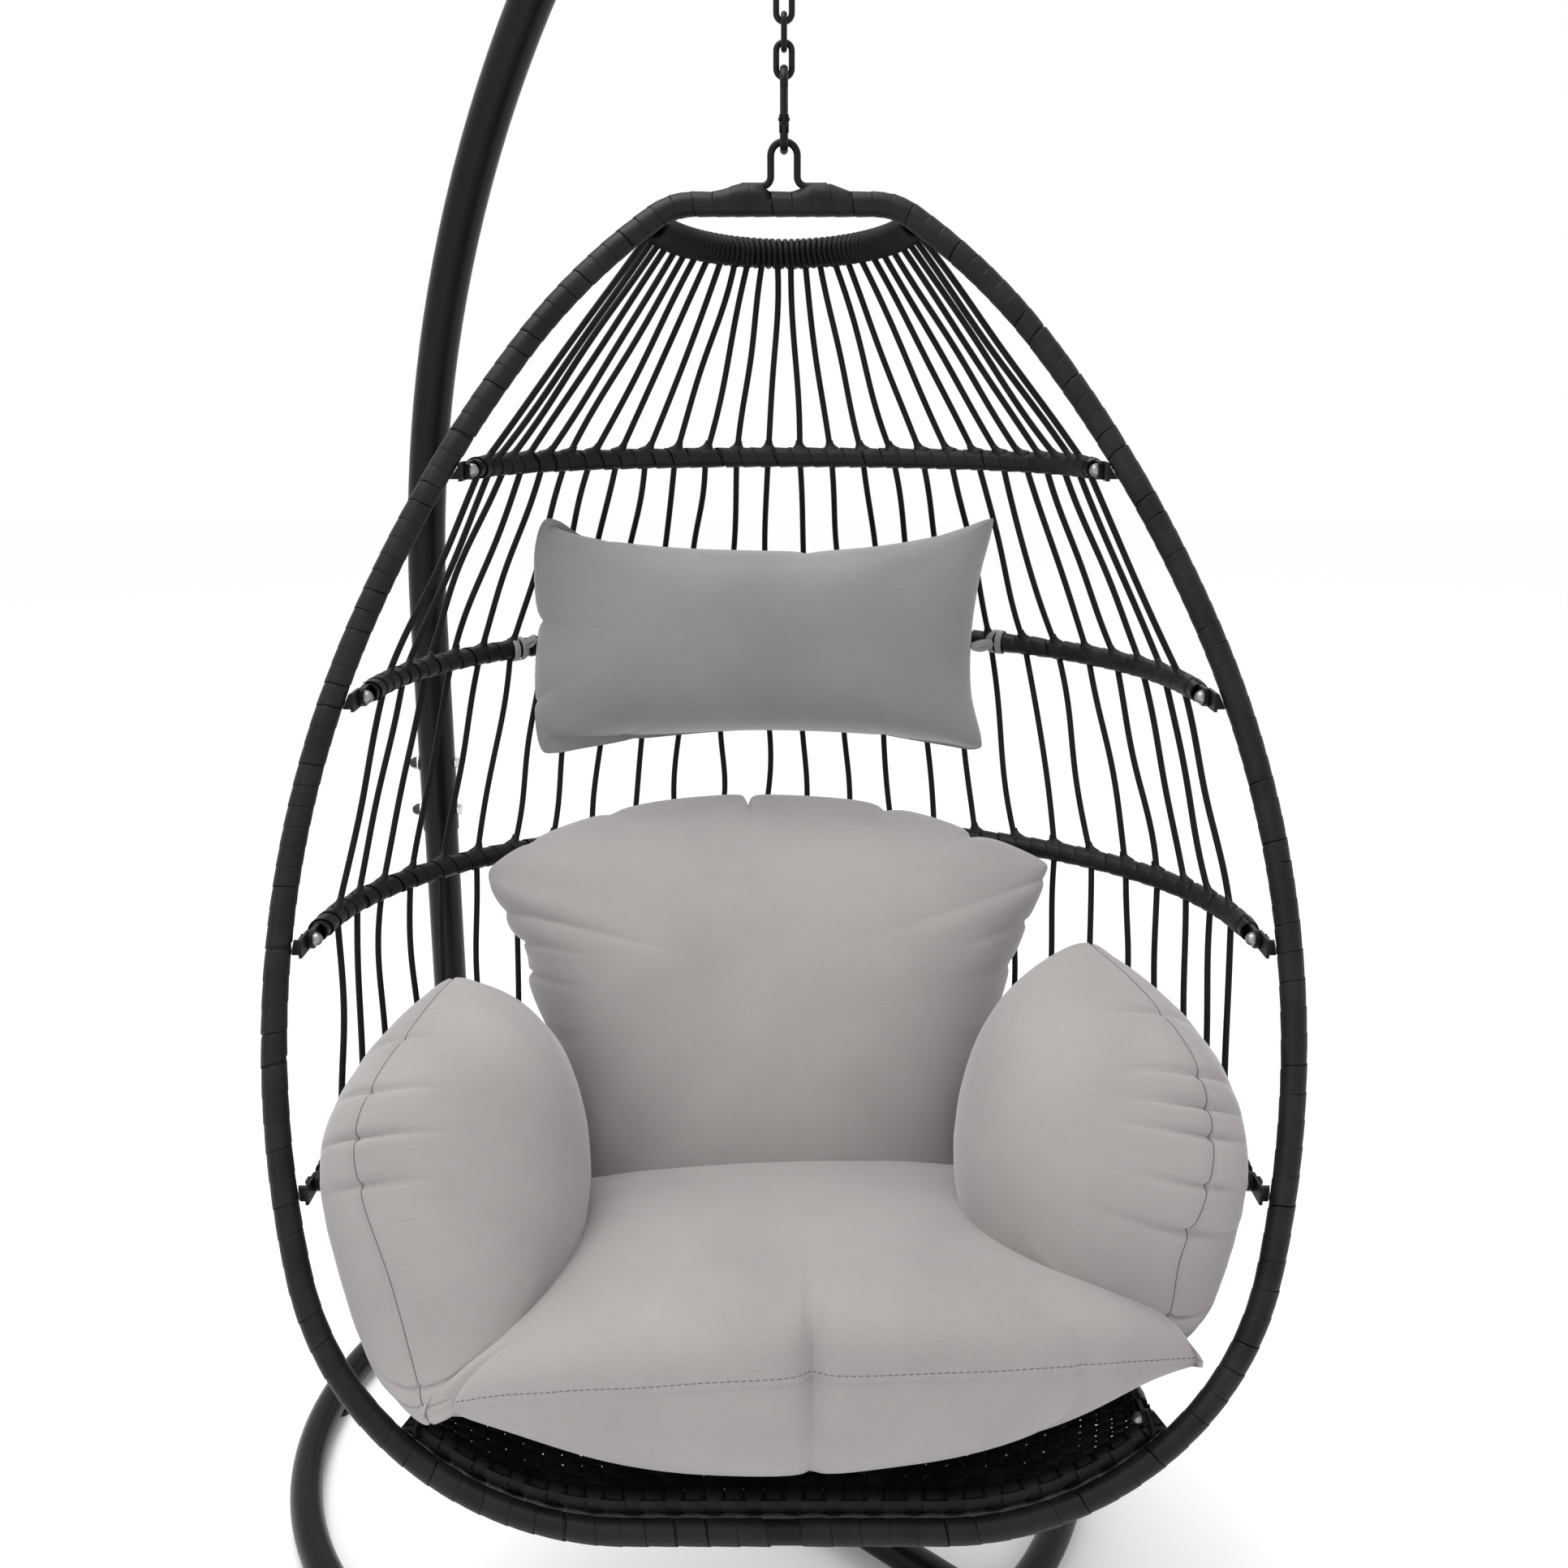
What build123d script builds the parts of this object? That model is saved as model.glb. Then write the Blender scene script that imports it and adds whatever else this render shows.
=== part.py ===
from build123d import *
import os
from math import asin, cos, radians, sin, sqrt

os.makedirs("parts", exist_ok=True)

# Hanging egg chair: a C-shaped floor stand, a chain with a snap hook, and a folding corded basket.
# Millimetres, +Z up, the chair faces -Y. The model is laid out with the chain on the Z axis and the
# floor at Z = 0, and moved at the end so that the middle of its footprint is the origin.

# ---- Basket rim: an egg-shaped tube in a plane that leans back at the top ----
RIM_LEAN = 20.8  # degrees from vertical
RIM_TOP = 1501.0  # height of the top bar's centre line
RIM_TUBE = 22.0
RIM_BORE = 19.6
RIM_WRAP = 26.0  # outside of the rattan strip wound on the tube
RIM_TOP_FLAT = 89.0  # half the straight top bar
WRAP_PLAY = 0.1  # between a tube and the inside of its wrap
WRAP_BREAKS = (142.0, 788.0)  # where one length of strip ends and the next begins, down the rim
RIM_ARCS = ((61, 37), (609, 17.4), (1300, 14.8), (980, 35.1), (283, 29.9), (326, 45.8))  # radius, turn

# ---- Back bars: half ellipses behind the rim, each on two pivot bolts ----
BARS = {"bar_1": (271.0, 248.0), "bar_2": (497.0, 418.0), "bar_3": (731.0, 402.0), "bar_4": (958.0, 400.0)}
PIVOT_BEHIND = 28.0  # the pivot bolts sit this far behind the rim's centre line
TAB_INSIDE = 20.0  # the tabs' middle plane, inward from the rim's centre line
TAB_THICK = 3.0
EAR_THICK = 4.0
EAR_GAP = 0.4
EAR_LENGTH = 20.0
EAR_BITE = 6.0  # how far the ear reaches into its tube
EAR_HEIGHT = 18.0
BAR_TUBE = 19.0
BAR_BORE = 15.0
BAR_WRAP = 22.0
PIVOT_BOLT = 6.0
BOLT_PLAY = 0.08  # between a pivot bolt and its holes, all round

# ---- Fixed rear arc at the top, where the cords begin ----
ARC_DOWN = 17.0
ARC_INSIDE = 2.0
ARC_DEPTH = 168.0
ARC_DROOP = 7.0
ARC_TUBE = 16.0
ARC_WINDING = 33.0

# ---- Cords ----
CORDS = 26
CORD = 6.3
CORD_START = 14.5  # a cord's solid starts this far from the centre line of a bar
FIRST_CORD_ANGLE = 8.0  # degrees round the half ellipse of a bar

# ---- Seat base ----
SEAT_DOWN = 1174.0
SEAT_DEPTH = 400.0
SEAT_DROOP = 6.0
SEAT_RAIL = 19.0
SEAT_BORE = 16.0
SEAT_FRONT_INSET = 6.0
BOLT_HEAD_ROOM = (17.5, 12.0)  # width and depth of the room beside each ear for the pivot bolt's head
WEAVE_THICK = 2.5

# ---- Cushions ----
CAGE_MARGIN = 18.0  # cushions keep this far inside the centre lines of the bars
CAGE_FORWARD = 110.0

# ---- Hanging loop, snap hook and chain, all on the Z axis ----
LOOP_ROD = 7.0
LOOP_HALF_WIDTH = 13.0
LOOP_FOOT = 42.0
LOOP_RISE = 57.5  # top of the loop's centre line above the top bar's centre line
HOOK_WIRE = 8.0
HOOK_HALF_WIDTH = 16.0
LINK_WIRE = 6.0
LINK_LENGTH = 37.0
LINK_WIDTH = 21.0
LINKS = 11
TOUCH = 0.3  # play between the links
GATE_WIRE = 6.4
GATE_PIVOT = 26.0  # above the hook's lowest centre line
GATE_LENGTH = 29.0
GATE_PIN = 3.0
PIN_PLAY = 0.07  # between the gate and its pin, all round

# ---- Stand ----
POLE_REACH = 641.0  # from the chain to the pole's axis
POLE_BEARING = 137.5  # degrees from +X, so the pole stands behind the chair on its left
UPPER_TUBE = 48.3
UPPER_BORE = 45.3
LOWER_TUBE = 45.0
LOWER_BORE = 41.0
SLEEVE_END = 730.0
LOWER_TOP = 890.0
BEND_START = 1020.0
BEND_ARCS = ((1112, 40.1), (596, 42.4))
ARM_END = 34.0
POLE_BOLTS = (757.0, 823.0)
POLE_BOLT = 8.0
BASE_RADIUS = 480.0
BASE_TUBE = 38.0
BASE_BORE = 34.0
BASE_SLEEVE = 43.0
SLEEVE_ANGLE = 6.0  # half the sleeve that joins the two half rings in front
SOCKET_TUBE = 52.0
SOCKET_TOP = 200.0
FOOT_HEIGHT = 5.0
FOOT_WIDTH = 44.0
GUSSET_LENGTH = 110.0
GUSSET_GAP = 0.2  # left for the weld
EYE_WIRE = 8.0
EYE_RADIUS = 12.0

BASE_HEIGHT = FOOT_HEIGHT + BASE_TUBE / 2

UP = Vector(0, 0, 1)
BACK = Vector(0, 1, 0)
RIM_NORMAL = Vector(0, cos(radians(RIM_LEAN)), -sin(radians(RIM_LEAN)))
RIM_PLANE = Plane(origin=(0, 0, RIM_TOP), x_dir=(1, 0, 0), z_dir=RIM_NORMAL)
STAND_OUT = Vector(cos(radians(POLE_BEARING)), sin(radians(POLE_BEARING)), 0)
STAND_SIDE = Vector(STAND_OUT.Y, -STAND_OUT.X, 0)
STAND_PLANE = Plane(origin=(0, 0, 0), x_dir=STAND_OUT, z_dir=STAND_SIDE)
POLE_FOOT = STAND_OUT * POLE_REACH
BASE_CENTRE = STAND_OUT * (POLE_REACH - BASE_RADIUS)

parts = {}


# ---------------------------------------------------------------- helpers

def tube(path, outside, bore=0):
    """A round tube or rod along a path."""
    section = Circle(outside / 2)
    if bore:
        section -= Circle(bore / 2)
    return sweep(Plane(origin=path @ 0, z_dir=path % 0) * section, path=path)


def rod(start, end, width, bore=0):
    """A straight round rod or tube between two points."""
    start = Vector(start)
    axis = Vector(end) - start
    section = Circle(width / 2)
    if bore:
        section -= Circle(bore / 2)
    return extrude(Plane(origin=start, z_dir=axis) * section, amount=axis.length)


def both_sides(shape):
    """A shape and its mirror image in the middle plane of the chair, as separate solids."""
    return Compound(children=[*shape.solids(), *mirror(shape, about=Plane.YZ).solids()])


def group(shapes):
    """Separate solids kept in one part."""
    return Compound(children=[solid for shape in shapes for solid in shape.solids()])


# ---------------------------------------------------------------- rim

def arcs_from(start, heading, arcs):
    """Tangent arcs one after another, each given by its radius and its turn."""
    edges = []
    for radius, turn in arcs:
        edge = JernArc(start=start, tangent=heading, radius=radius, arc_size=turn)
        edges.append(edge)
        start = edge @ 1
        heading = edge % 1
    return edges


RIM_CURVES = arcs_from((RIM_TOP_FLAT, 0), (1, 0), RIM_ARCS)
RIM_LENGTH = (RIM_CURVES[-1] @ 1).Y


def rim_half_width(down):
    """Half the rim's width, centre line to centre line, at a distance down its plane."""
    for arc in RIM_CURVES:
        if (arc @ 0).Y <= down <= (arc @ 1).Y:
            centre = arc.arc_center
            return centre.X + sqrt(arc.radius**2 - (down - centre.Y) ** 2)


def rim_path():
    """The right half of the rim's centre line, from the middle of its top to the middle of its bottom."""
    top = Line((0, 0), (RIM_TOP_FLAT, 0))
    bottom = Line(RIM_CURVES[-1] @ 1, (0, RIM_LENGTH))
    return RIM_PLANE * Wire([top, *RIM_CURVES, bottom])


def rim_tube():
    half = tube(rim_path(), RIM_TUBE, RIM_BORE)
    return half + mirror(half, about=Plane.YZ)


def rim_wrap():
    """The strip wound on the rim, in five lengths that meet end to end."""
    half = tube(rim_path(), RIM_WRAP, RIM_TUBE + WRAP_PLAY)
    upper_break, lower_break = WRAP_BREAKS
    lengths = {
        "top": (-RIM_WRAP, upper_break),
        "upper": (upper_break, lower_break),
        "lower": (lower_break, RIM_LENGTH + RIM_WRAP),
    }
    pieces = {}
    for name, (first, last) in lengths.items():
        slab = RIM_PLANE * Pos(0, (first + last) / 2) * Box(2000, last - first, 200)
        right = half & slab
        left = mirror(right, about=Plane.YZ)
        if name == "top":
            pieces["rim_wrap_top"] = right + left
        else:
            pieces[f"rim_wrap_{name}_right"] = right
            pieces[f"rim_wrap_{name}_left"] = left
    return pieces


def rim_solid():
    """The rim with its wrap as one filled rod, for trimming what meets it."""
    half = tube(rim_path(), RIM_WRAP)
    return half + mirror(half, about=Plane.YZ)


def pivot_point(down):
    """The right-hand pivot behind the rim, in the middle plane of its tab."""
    on_plane = RIM_PLANE.from_local_coords(Vector(rim_half_width(down) - TAB_INSIDE, down))
    return on_plane + BACK * PIVOT_BEHIND


def pivot_tab(down, rim):
    """A plate on the back of the rim with a hole for the pivot bolt."""
    pivot = pivot_point(down)
    face = Plane(origin=pivot - Vector(TAB_THICK / 2, 0, 0), x_dir=(0, 1, 0), z_dir=(1, 0, 0))
    outline = Circle(9) + Pos(-PIVOT_BEHIND / 2, 0) * Rectangle(PIVOT_BEHIND, 18)
    plate = extrude(face * outline, amount=TAB_THICK)
    on_rim = pivot - BACK * PIVOT_BEHIND + Vector(TAB_INSIDE / 2, 6, 0)
    bridge = Pos(on_rim) * Box(TAB_INSIDE, 5, 14)
    hole = rod(pivot - Vector(10, 0, 0), pivot + Vector(10, 0, 0), PIVOT_BOLT + 2 * BOLT_PLAY)
    return largest(plate + bridge - rim - hole)


def largest(shape):
    return max(shape.solids(), key=lambda solid: solid.volume)


def pivot_bolt(down):
    """A dome-head bolt through the ear and the tab, with its nut outside."""
    pivot = pivot_point(down)
    face = TAB_THICK / 2 + EAR_GAP + EAR_THICK + 0.2
    inner = pivot - Vector(face, 0, 0)
    outer = pivot + Vector(TAB_THICK / 2 + 0.1, 0, 0)
    shank = rod(inner, outer + Vector(7, 0, 0), PIVOT_BOLT)
    flange = rod(inner, inner - Vector(1.2, 0, 0), 14)
    dome = Pos(inner - Vector(1.2, 0, 0)) * Sphere(6.5)
    dome = dome & (Pos(inner - Vector(1.2 + 4, 0, 0)) * Box(8, 20, 20))
    return shank + flange + dome


def pivot_nut(down):
    pivot = pivot_point(down)
    face = Plane(origin=pivot + Vector(TAB_THICK / 2 + 0.1, 0, 0), z_dir=(1, 0, 0))
    return extrude(face * (RegularPolygon(5.5, 6) - Circle(PIVOT_BOLT / 2 + BOLT_PLAY)), amount=5)


# ---------------------------------------------------------------- back bars

def ear_point(down):
    """The middle of the right-hand ear at the pivot."""
    return pivot_point(down) - Vector(TAB_THICK / 2 + EAR_GAP + EAR_THICK / 2, 0, 0)


def bar_plane(down, droop=0):
    """The plane of a bar: X to the right, Y to the back, its origin midway between the tube's ends."""
    ear = ear_point(down)
    back = Vector(0, cos(radians(droop)), -sin(radians(droop)))
    start = Vector(0, ear.Y, ear.Z) + back * EAR_LENGTH
    return Plane(origin=start, x_dir=(1, 0, 0), z_dir=Vector(1, 0, 0).cross(back))


def half_ellipse(half_width, reach):
    """Half an ellipse round the origin, from its right end over the back to its left end."""
    return EllipticalCenterArc((0, 0), half_width, reach, start_angle=0, arc_size=180)


def bar_path(down, depth, droop=0):
    reach = depth - PIVOT_BEHIND - EAR_LENGTH
    return bar_plane(down, droop) * half_ellipse(ear_point(down).X, reach)


def bar_point(down, depth, angle, droop=0):
    """A point of a bar's centre line; the angle runs from 0 at the right end to 180 at the left."""
    half_width = ear_point(down).X
    reach = depth - PIVOT_BEHIND - EAR_LENGTH
    flat = Vector(half_width * cos(radians(angle)), reach * sin(radians(angle)))
    return bar_plane(down, droop).from_local_coords(flat)


def ear(down, droop=0):
    """The flattened end of a bar, with its bolt hole."""
    middle = ear_point(down)
    back = Vector(0, cos(radians(droop)), -sin(radians(droop)))
    face = Plane(origin=middle - Vector(EAR_THICK / 2, 0, 0), x_dir=back, z_dir=(1, 0, 0))
    length = EAR_LENGTH + EAR_BITE
    outline = Circle(EAR_HEIGHT / 2) + Pos(length / 2, 0) * Rectangle(length, EAR_HEIGHT)
    return extrude(face * (outline - Circle(PIVOT_BOLT / 2 + BOLT_PLAY)), amount=EAR_THICK)


def bar_tube(down, depth):
    path = bar_path(down, depth)
    return tube(path, BAR_TUBE, BAR_BORE) + ear(down) + mirror(ear(down), about=Plane.YZ)


def bar_wrap(down, depth):
    return tube(bar_path(down, depth), BAR_WRAP, BAR_TUBE)


# ---------------------------------------------------------------- rear arc

def arc_plane():
    back = Vector(0, cos(radians(ARC_DROOP)), -sin(radians(ARC_DROOP)))
    start = RIM_PLANE.from_local_coords(Vector(0, ARC_DOWN))
    return Plane(origin=start, x_dir=(1, 0, 0), z_dir=Vector(1, 0, 0).cross(back))


def arc_path():
    return arc_plane() * half_ellipse(rim_half_width(ARC_DOWN) - ARC_INSIDE, ARC_DEPTH)


def arc_point(angle):
    half_width = rim_half_width(ARC_DOWN) - ARC_INSIDE
    flat = Vector(half_width * cos(radians(angle)), ARC_DEPTH * sin(radians(angle)))
    return arc_plane().from_local_coords(flat)


# ---------------------------------------------------------------- cords

def cord_angle(number):
    return FIRST_CORD_ANGLE + (180 - 2 * FIRST_CORD_ANGLE) * number / (CORDS - 1)


def cords_between(upper, lower):
    """One straight cord for each cord angle, between two point functions of that angle."""
    cords = []
    for number in range(CORDS):
        start = upper(cord_angle(number))
        end = lower(cord_angle(number))
        along = (end - start).normalized()
        cords.append(rod(start + along * CORD_START, end - along * CORD_START, CORD))
    return group(cords)


def bar_angle_point(name):
    down, depth = BARS[name]
    return lambda angle: bar_point(down, depth, angle)


def seat_angle_point(angle):
    return bar_point(SEAT_DOWN, SEAT_DEPTH, angle, SEAT_DROOP)


# ---------------------------------------------------------------- seat base

def seat_front_path():
    """The front rail follows the bottom of the rim, a little inside it and behind it."""
    bottom_arc = RIM_CURVES[-1]
    centre = bottom_arc.arc_center
    radius = bottom_arc.radius - SEAT_FRONT_INSET
    first = asin((SEAT_DOWN - centre.Y) / bottom_arc.radius)
    halfway = (first + radians(90)) / 2
    start = Vector(centre.X + radius * cos(first), centre.Y + radius * sin(first))
    middle = Vector(centre.X + radius * cos(halfway), centre.Y + radius * sin(halfway))
    end = Vector(centre.X, centre.Y + radius)
    right = ThreePointArc(start, middle, end)
    flat = Line(end, (-end.X, end.Y))
    left = ThreePointArc((-end.X, end.Y), (-middle.X, middle.Y), (-start.X, start.Y))
    return Pos(0, PIVOT_BEHIND, 0) * (RIM_PLANE * Wire([right, flat, left]))


def seat_front_rail(back_rail):
    """The front rail runs from ear to ear, and is cut away round the heads of the pivot bolts."""
    ear_middle = ear_point(SEAT_DOWN)
    between_ears = Pos(0, ear_middle.Y, ear_middle.Z) * Box(2 * ear_middle.X + EAR_THICK, 1000, 1000)
    width, depth = BOLT_HEAD_ROOM
    room = rod(ear_middle, ear_middle - Vector(EAR_THICK / 2 + depth, 0, 0), width)
    rail = tube(seat_front_path(), SEAT_RAIL, SEAT_BORE) & between_ears
    for side in both_sides(room):
        rail = rail - side
    return largest(rail - back_rail)


def seat_back_path():
    return bar_path(SEAT_DOWN, SEAT_DEPTH, SEAT_DROOP)


def seat_weave():
    """The woven sheet between the two rails, as a ruled surface with a thickness."""
    back = seat_back_path().edges()[0]
    front = seat_front_path()
    curve = Spline(front @ 0, front @ 0.25, front @ 0.5, front @ 0.75, front @ 1)
    sheet = Face.make_surface_from_curves(curve.edges()[0], back)
    return Solid.thicken(sheet, WEAVE_THICK)


# ---------------------------------------------------------------- loop, hook, chain

def hanging_loop():
    foot = RIM_TOP + RIM_WRAP / 2 + LOOP_ROD / 2 + 0.1
    top = RIM_TOP + LOOP_RISE
    points = [(-LOOP_FOOT, foot), (-LOOP_HALF_WIDTH, foot), (-LOOP_HALF_WIDTH, top)]
    points += [(-x, z) for x, z in reversed(points)]
    path = FilletPolyline(*points, radius=[9, LOOP_HALF_WIDTH - 0.2, LOOP_HALF_WIDTH - 0.2, 9])
    return tube(Plane.XZ * path, LOOP_ROD)


HOOK_LOW = RIM_TOP + LOOP_RISE - (LOOP_ROD + HOOK_WIRE) / 2 - TOUCH
LINK_BEND = (LINK_WIDTH - LINK_WIRE) / 2
LINK_RISE = LINK_LENGTH - LINK_WIRE
LINK_PITCH = LINK_RISE - LINK_WIRE - TOUCH
HOOK_HIGH = HOOK_LOW + 73.3
FIRST_LINK = HOOK_HIGH - (HOOK_WIRE + LINK_WIRE) / 2 - TOUCH


def slot_path(plane, low, high, half_width):
    """Half of an upright slot shape: a quarter circle, a straight and a quarter circle."""
    bottom = CenterArc((0, low + half_width), half_width, -90, 90)
    side = Line((half_width, low + half_width), (half_width, high - half_width))
    top = CenterArc((0, high - half_width), half_width, 0, 90)
    return plane * Wire([bottom, side, top])


def chain_link(number):
    """A link of the chain, counted from the hook; every second one is turned a quarter."""
    low = FIRST_LINK + number * LINK_PITCH
    half = tube(slot_path(Plane.XZ, low, low + LINK_RISE, LINK_BEND), LINK_WIRE)
    link = half + mirror(half, about=Plane.YZ)
    if number % 2:
        link = Rot(0, 0, 90) * link
    return link


def hook_body():
    """The snap hook: an oval of rod in the YZ plane, open in front for its gate."""
    pivot = HOOK_LOW + GATE_PIVOT
    front = -HOOK_HALF_WIDTH
    low_turn = HOOK_LOW + HOOK_HALF_WIDTH
    high_turn = HOOK_HIGH - HOOK_HALF_WIDTH
    path = Wire([
        Line((front, pivot - 6), (front, low_turn)),
        ThreePointArc((front, low_turn), (0, HOOK_LOW), (-front, low_turn)),
        Line((-front, low_turn), (-front, high_turn)),
        ThreePointArc((-front, high_turn), (0, HOOK_HIGH), (front, high_turn)),
        Line((front, high_turn), (front, pivot + GATE_LENGTH + 0.6)),
    ])
    body = tube(Plane.YZ * path, HOOK_WIRE)
    for side in (-1, 1):
        body += Pos(side * 4.1, front, pivot - 4) * Box(1.2, 7, 16)
    return body - rod((-10, front, pivot), (10, front, pivot), GATE_PIN + 0.1)


def hook_gate():
    pivot = HOOK_LOW + GATE_PIVOT
    bar = rod((0, -HOOK_HALF_WIDTH, pivot - 2.5), (0, -HOOK_HALF_WIDTH, pivot + GATE_LENGTH), GATE_WIRE)
    hole = rod((-10, -HOOK_HALF_WIDTH, pivot), (10, -HOOK_HALF_WIDTH, pivot), GATE_PIN + 2 * PIN_PLAY)
    return bar - hole


def hook_pin():
    pivot = HOOK_LOW + GATE_PIVOT
    return rod((-5.6, -HOOK_HALF_WIDTH, pivot), (5.6, -HOOK_HALF_WIDTH, pivot), GATE_PIN)


# ---------------------------------------------------------------- stand

def arm_path():
    """Up the pole, then over in two bends until the tube is above the chain."""
    straight = Line((POLE_REACH, SLEEVE_END), (POLE_REACH, BEND_START))
    bends = arcs_from((POLE_REACH, BEND_START), (0, 1), BEND_ARCS)
    end = bends[-1] @ 1
    heading = bends[-1] % 1
    reach = (end.X + ARM_END) / -heading.X
    return STAND_PLANE * Wire([straight, *bends, Line(end, end + heading * reach)])


def arm_height_over_chain():
    """Height of the arm's centre line where it crosses the chain's axis."""
    end = arm_path() @ 1
    heading = arm_path() % 1
    flat = sqrt(heading.X**2 + heading.Y**2)
    return end.Z - heading.Z * ARM_END / flat


def upper_arm():
    arm = tube(arm_path(), UPPER_TUBE, UPPER_BORE)
    return arm - pole_bolt_holes()


def pole_bolt_holes():
    holes = []
    for height in POLE_BOLTS:
        middle = POLE_FOOT + UP * height
        holes.append(rod(middle - Vector(60, 0, 0), middle + Vector(60, 0, 0), POLE_BOLT + 0.4))
    return group(holes)


def lower_pole():
    foot = POLE_FOOT + UP * 12
    return rod(foot, POLE_FOOT + UP * LOWER_TOP, LOWER_TUBE, LOWER_BORE) - pole_bolt_holes()


def pole_bolts():
    bolts = []
    for height in POLE_BOLTS:
        middle = POLE_FOOT + UP * height
        head = middle + Vector(UPPER_TUBE / 2 + 0.2, 0, 0)
        tail = middle - Vector(UPPER_TUBE / 2 + 8, 0, 0)
        shank = rod(tail, head, POLE_BOLT)
        cap = extrude(Plane(origin=head, z_dir=(1, 0, 0)) * RegularPolygon(7.5, 6), amount=5.5)
        bolts.append(shank + cap)
    return group(bolts)


def pole_washers():
    washers = []
    for height in POLE_BOLTS:
        face = POLE_FOOT + UP * height - Vector(UPPER_TUBE / 2 + 0.2, 0, 0)
        washers.append(rod(face, face - Vector(1.6, 0, 0), 20, POLE_BOLT + 0.4))
    return group(washers)


def pole_cap_nuts():
    """Domed cap nuts on the bolts' ends."""
    nuts = []
    for height in POLE_BOLTS:
        face = POLE_FOOT + UP * height - Vector(UPPER_TUBE / 2 + 2.0, 0, 0)
        collar = extrude(Plane(origin=face, z_dir=(-1, 0, 0)) * RegularPolygon(8.2, 6), amount=6)
        dome = Pos(face - Vector(5, 0, 0)) * Sphere(7)
        dome = dome & (Pos(face - Vector(6 + 4.5, 0, 0)) * Box(9, 20, 20))
        nuts.append(collar + dome - rod(face + Vector(1, 0, 0), face - Vector(7.5, 0, 0), POLE_BOLT + 0.1))
    return group(nuts)


def arm_cap():
    """A plastic plug with a rounded rim in the arm's open end."""
    end = arm_path() @ 1
    heading = arm_path() % 1
    plug = rod(end - heading * 12, end, UPPER_BORE - 0.4)
    lid = rod(end + heading * 0.1, end + heading * 6, UPPER_TUBE)
    lid = fillet(lid.edges().sort_by(lambda edge: (edge.center() - end).dot(heading))[-1], 4)
    return lid + rod(end - heading * 0.1, end + heading * 0.2, UPPER_BORE - 0.4) + plug


def arm_eye():
    """A ring on a stem through the arm, closed by a nut on top."""
    top_link = FIRST_LINK + (LINKS - 1) * LINK_PITCH + LINK_RISE
    low = top_link - (LINK_WIRE + EYE_WIRE) / 2 - TOUCH
    centre = low + EYE_RADIUS
    ring = Plane(origin=(0, 0, centre), x_dir=(0, 1, 0), z_dir=(1, 0, 0)) * Torus(EYE_RADIUS, EYE_WIRE / 2)
    over = arm_height_over_chain()
    stem = rod((0, 0, centre + EYE_RADIUS - 1), (0, 0, over + UPPER_TUBE / 2 + 9), EYE_WIRE)
    collar = rod((0, 0, centre + EYE_RADIUS + 3), (0, 0, over - UPPER_TUBE / 2 - 1.8), 18)
    return ring + stem + collar


def arm_eye_nut():
    face = arm_height_over_chain() + UPPER_TUBE / 2 + 1.6
    outline = RegularPolygon(7.5, 6) - Circle(EYE_WIRE / 2 + 0.05)
    return extrude(Plane(origin=(0, 0, face)) * outline, amount=6.5)


def base_arc(first, last):
    """Part of the foot ring's centre line; angle 0 is at the pole and 180 in front."""
    plane = Plane(origin=BASE_CENTRE + UP * BASE_HEIGHT, x_dir=STAND_OUT, z_dir=(0, 0, 1))
    return plane * CenterArc((0, 0), BASE_RADIUS, first, last - first)


def base_parts():
    foot = POLE_FOOT + UP * BASE_HEIGHT
    front = BASE_CENTRE - STAND_OUT * BASE_RADIUS + UP * BASE_HEIGHT
    socket_solid = rod(POLE_FOOT, POLE_FOOT + UP * SOCKET_TOP, SOCKET_TUBE)
    sleeve_path = base_arc(180 - SLEEVE_ANGLE, 180 + SLEEVE_ANGLE)
    left = largest(tube(base_arc(0, 180), BASE_TUBE, BASE_BORE) - socket_solid)
    right = largest(tube(base_arc(180, 360), BASE_TUBE, BASE_BORE) - socket_solid)
    ring_solid = tube(base_arc(0, 180), BASE_TUBE) + tube(base_arc(180, 360), BASE_TUBE)
    crossbar = rod(foot, front, BASE_TUBE, BASE_BORE)
    crossbar = largest(crossbar - socket_solid - ring_solid - tube(sleeve_path, BASE_SLEEVE))
    socket = rod(POLE_FOOT + UP * 6, POLE_FOOT + UP * SOCKET_TOP, SOCKET_TUBE, LOWER_TUBE + 0.3)
    socket = socket + rod(POLE_FOOT + UP * 6, POLE_FOOT + UP * 11.5, SOCKET_TUBE)
    return {
        "base_ring_left": left,
        "base_ring_right": right,
        "base_crossbar": crossbar,
        "base_joint_sleeve": tube(sleeve_path, BASE_SLEEVE, BASE_TUBE + 0.2),
        "base_socket": socket,
        "base_gusset": base_gusset(),
        "base_feet": base_feet(),
    }


def base_gusset():
    """A triangular plate that braces the socket on the crossbar."""
    inner = POLE_REACH - SOCKET_TUBE / 2 - GUSSET_GAP
    low = BASE_HEIGHT + BASE_TUBE / 2 + GUSSET_GAP
    corners = [(inner, low), (inner - GUSSET_LENGTH, low), (inner, low + GUSSET_LENGTH)]
    return extrude(STAND_PLANE * make_face(Polyline(*corners, close=True)), amount=3, both=True)


def base_feet():
    """Rubber pads under the foot ring and under the middle of the crossbar."""
    places = [BASE_CENTRE]
    for bearing in (35, 90, 145, 215, 270, 325):
        places.append(BASE_CENTRE + STAND_OUT.rotate(Axis.Z, bearing) * BASE_RADIUS)
    return group(rod(place, place + UP * (FOOT_HEIGHT - 0.1), FOOT_WIDTH) for place in places)


# ---------------------------------------------------------------- cushions

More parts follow.
